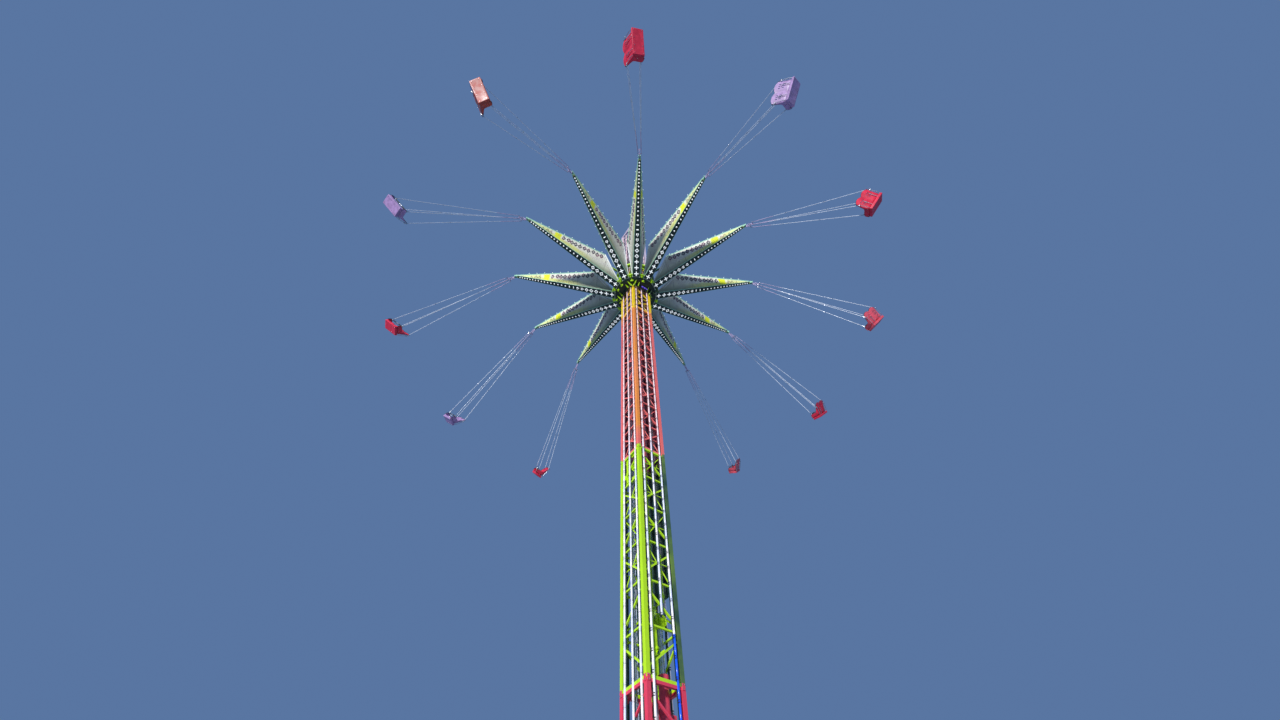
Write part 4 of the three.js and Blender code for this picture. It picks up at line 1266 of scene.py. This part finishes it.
def armPosts():
    # posts from toe to heel, with thin braces across to the other side
    look = {"post": 0.024, "brace": 0.014, "bracesAt": (0.34, 0.67), "braceRise": 0.3}
    posts = []
    for side in (-1, 1):
        toe, heel = mirrored(armToe, side), mirrored(armHeel, side)
        posts.append(addTube(toe, heel, look["post"], 10))
        for share in look["bracesAt"]:
            across = mirrored(armToe, -side).lerp(mirrored(armHeel, -side), share + look["braceRise"])
            posts.append(addTube(toe.lerp(heel, share), across, look["brace"], 8))
    return finished("posts", posts, whitePaint)


def topLamps():
    # small lamps in cups along the top pipes, leaning outwards
    look = {"every": 0.46, "cup": (0.03, 0.022, 0.03), "cap": (0.024, 0.062), "seat": (0.012, 0.018),
            "lean": (0.6, 0.8)}
    cupRadius, neckRadius, cupHigh = look["cup"]
    capRadius, capTop = look["cap"]
    out, up = look["seat"]
    cup = addTube((0, 0, 0), (0, 0, cupHigh), cupRadius, 8, 0, neckRadius)
    cap = addTube((0, 0, cupHigh), (0, 0, capTop), capRadius, 8, 0.008)
    run = (Vector(armEndTop) - Vector(armHeel)).length
    leans = []
    for side in (-1, 1):
        for i in range(int(run / look["every"])):
            point = mirrored(armHeel, side).lerp(mirrored(armEndTop, side), (i + 0.5) * look["every"] / run)
            foot = point + Vector((0, side * out, up))
            leans.append(aimed(foot, (0, side * look["lean"][0], look["lean"][1])))
    cups = finished("topCups", copies(cup, leans), mintPaint, 40)
    return finished("topLamps", copies(cap, leans), lampCap, 40), cups


def forkNuts():
    # nuts on the ends of the fork's pin, and bolts round it
    look = {"size": 0.018, "pinEnd": 0.066, "boltsAt": ((-0.14, 0.12), (-0.14, -0.01), (-0.03, 0.12))}
    nuts = []
    for side in (-1, 1):
        nuts.append(fork @ aimed((0, side * look["pinEnd"], 0), (0, side, 0)))
        nuts += [fork @ aimed((dx, side * forkOut, dz), (0, side, 0)) for dx, dz in look["boltsAt"]]
    return boltsAt("tipNuts", look["size"], nuts)


lampModel, cupModel = topLamps()
armTrim = {"strip": armStrip(), "lamps": armLamps(), "pipes": armPipes(), "posts": armPosts(),
           "top_lamps": lampModel, "top_cups": cupModel, "tip_nuts": forkNuts()}
for number in armNumbers:
    for name, model in armTrim.items():
        rideOn(copyTo(model, armPlace(number), f"arm_{number:02d}_{name}"), "star")
remove(*armTrim.values())
print("arm trim made")


def slingModel():
    # hanger frame, four ropes with their sleeves, clips and shackles, and the padded bar across the chair
    look = {"top": -0.13, "bottom": -0.43, "wide": 0.125, "deep": 0.095, "tube": 0.02, "lowBar": 0.016,
            "stay": 0.011, "eye": (0.0216, 0.032, 0.03), "neck": (0.05, 0.056), "neckStart": 0.024,
            "neckFlare": (1.9, 0.7), "insideCorner": (0.98, 0.002), "rope": 0.0136, "ropeInset": 0.015,
            "front": (0.56, 0.174, 0.2583), "rear": (0.609, -0.3299, 0.4903),
            "topSocket": (0.02, 0.12, 0.017, 0.014), "lowSocket": (-0.13, -0.01, 0.015, 0.018),
            "sleeve": (0.0155, 0.11, 1.3), "clip": (0.02, 0.03),
            "clipsAt": (2.2, 4.4), "shackle": (0.024, 0.007), "bar": 0.018, "barHalf": 0.575,
            "grip": (1.45, 0.13, 0.46), "collars": ((1.6, 0.515, 0.545), (1.5, 0.06, 0.09)),
            "post": (0.014, -0.03, 0.05)}
    w, d, top, bottom, tube = look["wide"], look["deep"], look["top"], look["bottom"], look["tube"]
    bore, eyeRadius, eyeHalf = look["eye"]
    eye = moved(addRing(bore, eyeRadius, -eyeHalf, eyeHalf, 24, 0.002), turnX(90))
    neckMiddle = (top - look["neckStart"]) / 2
    neck = addBlock((*look["neck"], -top - look["neckStart"]), (0, 0, neckMiddle), 0.004)
    openEdit(neck)
    choose(neck, "verts", lambda co: co.z < neckMiddle)
    bpy.ops.transform.resize(value=(*look["neckFlare"], 1), center_override=(0, 0, 0))
    closeEdit()
    hanger = [eye, neck, addTube((-w, 0, top), (w, 0, top), tube, 12),
              addTube((-w, 0, bottom), (w, 0, bottom), look["lowBar"], 12)]
    ropes, sleeves, fittings = [], [], []
    sleeve, sleeveFrom, sleeveLong = look["sleeve"]
    clip, clipHalf = look["clip"]
    shackle, wire = look["shackle"]
    for side in (-1, 1):
        x = side * w
        share, up = look["insideCorner"]
        hanger += addPath([(x * share, 0, top + up), (x, 0, top), (x, 0, bottom)], tube, 12)
        hanger.append(addTube((x, -d, bottom), (x, d, bottom), tube, 12, 0.004))
        hanger.append(addTube((0, 0, top), (x, 0, bottom), look["stay"], 8))
        inset = d - look["ropeInset"]
        for depth, (endX, endY, endZ) in ((inset, look["front"]), (-inset, look["rear"])):
            start, end = Vector((x, depth, bottom)), seatPlace @ Vector((side * endX, endY, endZ))
            along = (end - start).normalized()
            ropes.append(addTube(start, end, look["rope"], 8))
            sleeveStart = start + along * sleeveFrom
            sleeves.append(addTube(sleeveStart, sleeveStart + along * sleeveLong, sleeve, 10, 0.005))
            for point, socket in ((start, look["topSocket"]), (end, look["lowSocket"])):
                upper, lower = point + along * socket[0], point + along * socket[1]
                fittings.append(addTube(upper, lower, socket[2], 8, 0.003, socket[3]))
            for drop in look["clipsAt"]:
                middle = start + along * drop
                fittings.append(addTube(middle - along * clipHalf, middle + along * clipHalf, clip, 8, 0.004))
            for point in (start, end):
                bpy.ops.mesh.primitive_torus_add(major_segments=14, minor_segments=6, major_radius=shackle,
                                                 minor_radius=wire, location=point,
                                                 rotation=(0, math.pi / 2, 0))
                fittings.append(freeze(bpy.context.object))
    _, y, z = look["front"]

    def sleeveOnBar(side, grow, start, end, sides, edge):
        return addTube((side * start, y, z), (side * end, y, z), look["bar"] * grow, sides, edge)

    bar = [addTube((-look["barHalf"], y, z), (look["barHalf"], y, z), look["bar"], 14, 0.003)]
    bar += [sleeveOnBar(side, *collar, 12, 0.004) for side in (-1, 1) for collar in look["collars"]]
    grips = [sleeveOnBar(side, *look["grip"], 14, 0.006) for side in (-1, 1)]
    postRadius, postBack, postFoot = look["post"]
    bar.append(addTube((0, y, z), (0, y + postBack, postFoot), postRadius, 10))
    for piece in bar + grips:
        moved(piece, seatPlace)
    return {
        "hanger": finished("hanger", hanger, hangerPaint, 40),
        "ropes": finished("ropes", ropes, ropeSteel, 50),
        "sleeves": finished("sleeves", sleeves, sleevePlastic, 40),
        "fittings": finished("fittings", fittings + bar, galvanised, 40),
        "grips": finished("grips", grips, blackRubber, 40),
    }


# the seat's line runs from its front lip over the pan and up the back, and the rim is the side's upper edge
chairLook = {
    "half": 0.563, "outside": 0.572, "columns": 20, "wall": 0.018, "panBelow": 0.1, "panHollow": 0.05,
    "backHollow": 0.04, "swell": 2.2, "lobe": 0.085, "lobeRows": (0.2, 0.6, 1.0),
    "line": [(0.222, -0.03), (0.21, 0.022), (0.175, 0.02), (0.10, -0.004), (0.0, -0.012), (-0.10, -0.008),
             (-0.165, 0.012), (-0.21, 0.065), (-0.234, 0.15), (-0.26, 0.26), (-0.288, 0.39), (-0.316, 0.52),
             (-0.338, 0.625), (-0.352, 0.692)],
    "rim": [(0.232, 0.02), (0.235, 0.12), (0.217, 0.205), (0.145, 0.232), (0.06, 0.235), (-0.015, 0.232),
            (-0.075, 0.232), (-0.125, 0.242), (-0.16, 0.27), (-0.19, 0.335), (-0.23, 0.42), (-0.27, 0.51),
            (-0.31, 0.57), (-0.345, 0.61)],
}
seatLine, seatRim = chairLook["line"], chairLook["rim"]
chairHalf, chairOutside = chairLook["half"], chairLook["outside"]
chairColumns = chairLook["columns"]
columnsAt = [chairHalf * (2 * column / chairColumns - 1) for column in range(chairColumns + 1)]


def hollowAt(x):
    # 0 in the middle of each of the two seats, 1 at their sides
    return abs(2 * abs(x) / chairHalf - 1) ** chairLook["swell"]


def seatPoint(row, hollow):
    y, z = seatLine[row]
    if z < chairLook["panBelow"]:
        z += chairLook["panHollow"] * hollow
    else:
        y += chairLook["backHollow"] * hollow
    lobeRow = row - len(seatLine) + len(chairLook["lobeRows"])
    if lobeRow >= 0:
        z -= chairLook["lobe"] * chairLook["lobeRows"][lobeRow] * hollow
    return y, z


def near(co, y, z):
    return abs(co.y - y) < 1e-4 and abs(co.z - z) < 1e-4


def chairShell():
    # two-seat bucket: a strip drawn up along the seat's line, hollowed twice, with its sides drawn out
    bpy.ops.object.select_all(action="DESELECT")
    bpy.ops.mesh.primitive_grid_add(x_subdivisions=chairColumns, y_subdivisions=1, size=2 * chairHalf)
    shell = freeze(bpy.context.object)
    openEdit(shell)
    (lipY, lipZ), (frontY, frontZ) = seatLine[:2]
    choose(shell, "verts", lambda co: co.y > 0)
    shift(0, lipY - chairHalf, lipZ)
    choose(shell, "verts", lambda co: co.y < 0)
    shift(0, frontY + chairHalf, frontZ)
    choose(shell, "edges", lambda a, b: near(a, frontY, frontZ) and near(b, frontY, frontZ))
    for before, after in zip(seatLine[1:], seatLine[2:]):
        step = (0, after[0] - before[0], after[1] - before[1])
        bpy.ops.mesh.extrude_region_move(TRANSFORM_OT_translate={"value": step})
    for x in columnsAt:
        for row, (lineY, lineZ) in enumerate(seatLine):
            y, z = seatPoint(row, hollowAt(x))
            choose(shell, "verts", lambda co: abs(co.x - x) < 0.003 and near(co, lineY, lineZ))
            shift(0, y - lineY, z - lineZ)
    for side in (-1, 1):
        choose(shell, "edges", lambda a, b: side * a.x > chairHalf - 0.003 and side * b.x > chairHalf - 0.003)
        step = (side * (chairOutside - chairHalf), 0, 0)
        bpy.ops.mesh.extrude_region_move(TRANSFORM_OT_translate={"value": step})
        for row, (rimY, rimZ) in enumerate(seatRim):
            y, z = seatPoint(row, 1.0)
            choose(shell, "verts", lambda co: side * co.x > chairOutside - 0.002 and near(co, y, z))
            shift(0, rimY - y, rimZ - z)
    closeEdit()
    applyModifier(shell, "SUBSURF", levels=1, render_levels=1)
    return applyModifier(shell, "SOLIDIFY", thickness=chairLook["wall"], offset=-1)


def cutSlots(shell):
    # two rows of three upright slots through the back of each seat
    look = {"size": (0.036, 0.2, 0.1), "rowsAt": ((-0.275, 0.315), (-0.31, 0.465)), "every": 0.095}
    places = [at(side * chairHalf / 2 + i * look["every"], y, z)
              for side in (-1, 1) for i in (-1, 0, 1) for y, z in look["rowsAt"]]
    cutters = joinAs("cutters", copies(addBlock(look["size"], (0, 0, 0), 0.014, 2), places))
    applyModifier(shell, "BOOLEAN", operation="DIFFERENCE", object=cutters, solver="EXACT")
    remove(cutters)
    return shell


def seatBox():
    # shallow closed box under the pan, with a sunk bottom
    look = {"low": -0.108, "high": 0.012, "deep": 0.46, "back": -0.018, "border": 0.05, "sink": 0.008}
    size = (2 * chairOutside, look["deep"], look["high"] - look["low"])
    box = addBlock(size, (0, look["back"], (look["low"] + look["high"]) / 2))
    openEdit(box)
    choose(box, "faces", lambda middle, normal: normal.z < -0.9)
    bpy.ops.mesh.inset(thickness=look["border"])
    shift(0, 0, look["sink"])
    closeEdit()
    return roundEdges(box, 0.014, 3)


def chairEdging():
    # rubber edging round the sides' rims, and along the lobes at the top of the back
    look = {"radius": 0.012}
    lobes = [(x, *seatPoint(len(seatLine) - 1, hollowAt(x))) for x in columnsAt]
    paths = [[(side * chairOutside, y, z) for y, z in seatRim] for side in (-1, 1)] + [lobes]
    edging = [part for path in paths for part in addPath(path, look["radius"], 8)]
    return finished("edging", edging, blackRubber, 40)


def chairFrame():
    # tubes up the sides and behind each back, the lugs that the rear ropes end on, and bolts
    look = {"lug": (0.609, -0.3299, 0.45), "lugBar": (0.094, 0.036, 0.036), "lugBarAt": 0.582,
            "boss": (0.021, 0.02), "strap": 0.012,
            "strapLine": ((0.552, -0.21, -0.05), (0.556, -0.283, 0.1)), "strapTop": (0.57, 0.005),
            "stay": 0.011, "stayAt": 0.2875, "bolt": 0.013, "boxUnder": -0.101,
            "stayLine": ((-0.10, -0.04), (-0.243, -0.02), (-0.292, 0.16), (-0.347, 0.40)),
            "sideBolts": ((0.578, 0.15, 0.06), (0.578, -0.04, 0.06), (0.578, -0.165, 0.12)),
            "boxBolts": ((0.5, 0.14), (0.5, -0.17), (0.17, 0.14), (0.17, -0.17)),
            "stayBolts": ((-0.32, 0.2), (-0.356, 0.38))}
    x, y, z = look["lug"]
    bossRadius, bossHalf = look["boss"]
    topX, topBack = look["strapTop"]
    tubes, bolts = [], []
    for side in (-1, 1):
        line = [mirroredX(point, side) for point in (*look["strapLine"], (topX, y + topBack, z))]
        tubes += addPath(line, look["strap"], 8)
        tubes.append(addBlock(look["lugBar"], (side * look["lugBarAt"], y, z), 0.008, 2))
        tubes.append(addTube((side * x, y, z - bossHalf), (side * x, y, z + bossHalf), bossRadius, 14, 0.003))
        stayX = side * look["stayAt"]
        tubes += addPath([(stayX, *point) for point in look["stayLine"]], look["stay"], 8)
        bolts += [aimed(mirroredX(point, side), (side, 0, 0)) for point in look["sideBolts"]]
        bolts += [aimed((side * bx, by, look["boxUnder"]), (0, 0, -1)) for bx, by in look["boxBolts"]]
        bolts += [aimed((stayX, *point), (0, -1, 0)) for point in look["stayBolts"]]
    return finished("frame", tubes, galvanised, 40), boltsAt("chairBolts", look["bolt"], bolts)


sling = slingModel()
shell = smooth(joinAs("shell", [cutSlots(chairShell()), seatBox()]), 50)
edging = chairEdging()
frameModel, boltsModel = chairFrame()
chair = {"edging": edging, "frame": frameModel, "bolts": boltsModel}
slotOf = {part["node"]: part["material_slot"] for part in frame["record"]["subparts"]}
for number in armNumbers:
    label = f"{number:02d}"
    place, body = chairPlace(number), f"swing_{label}"
    for name, model in sling.items():
        replaced = [f"sling_{label}"] if name == "ropes" else []
        rideOn(copyTo(model, place, f"sling_{label}_{name}"), body, "galvanised_steel", *replaced)
    shellSlot = slotOf[f"chair_{label}"]
    ownShell = paintWith(copyTo(shell, place @ seatPlace, f"chair_{label}_shell"), shells[shellSlot])
    rideOn(ownShell, body, shellSlot, f"chair_{label}")
    for name, model in chair.items():
        rideOn(copyTo(model, place @ seatPlace, f"chair_{label}_{name}"), body)
remove(shell, *sling.values(), *chair.values())
print("slings and chairs made")

# a round pale floor, an open blue sky, a low sun behind the viewer's left shoulder and a weak second light
stageLook = {"floorRadius": 42, "floorDown": 0.002, "floorColour": (0.76, 0.77, 0.75),
             "sky": (0.10, 0.18, 0.36), "skyStrength": 1.0, "lightsAway": 60}
lights = {"sun": {"from": (-0.84, -0.51, 0.17), "strength": 3.9, "spread": 8},
          "fill": {"from": (0.3, -0.9, 0.35), "strength": 0.12, "spread": 40}}
bpy.context.scene.view_settings.view_transform = "Standard"
bpy.ops.mesh.primitive_circle_add(vertices=96, radius=stageLook["floorRadius"], fill_type="NGON",
                                  location=(0, 0, -stageLook["floorDown"]))
floor = freeze(bpy.context.object)
floor.name = "floor"
paintWith(floor, startFinish("floorFinish", stageLook["floorColour"], 0.9)[0])
world = bpy.data.worlds.new("sky")
bpy.context.scene.world = world
world.use_nodes = True
background = world.node_tree.nodes["Background"]
background.inputs["Color"].default_value = (*stageLook["sky"], 1)
background.inputs["Strength"].default_value = stageLook["skyStrength"]
for name, lightLook in lights.items():
    direction = Vector(lightLook["from"])
    bpy.ops.object.light_add(type="SUN", location=direction * stageLook["lightsAway"])
    light = bpy.context.object
    light.name = name
    light.data.energy = lightLook["strength"]
    light.data.angle = math.radians(lightLook["spread"])
    light.rotation_euler = direction.to_track_quat("Z", "Y").to_euler()

cameraLook = {"standsAt": (-8.143, -11.138, 1.5), "heading": 36.51, "pitch": 55.35, "roll": -2.75,
              "lens": 14.82, "sensor": 36, "seesTo": 400}
bpy.ops.object.camera_add(location=cameraLook["standsAt"])
camera = bpy.context.object
camera.data.sensor_width = cameraLook["sensor"]
camera.data.lens = cameraLook["lens"]
camera.data.clip_end = cameraLook["seesTo"]
camera.rotation_euler = (turnZ(-cameraLook["heading"]) @ turnX(90 + cameraLook["pitch"])
                         @ turnZ(cameraLook["roll"])).to_euler()
bpy.context.scene.camera = camera
print("stage, light and camera set")
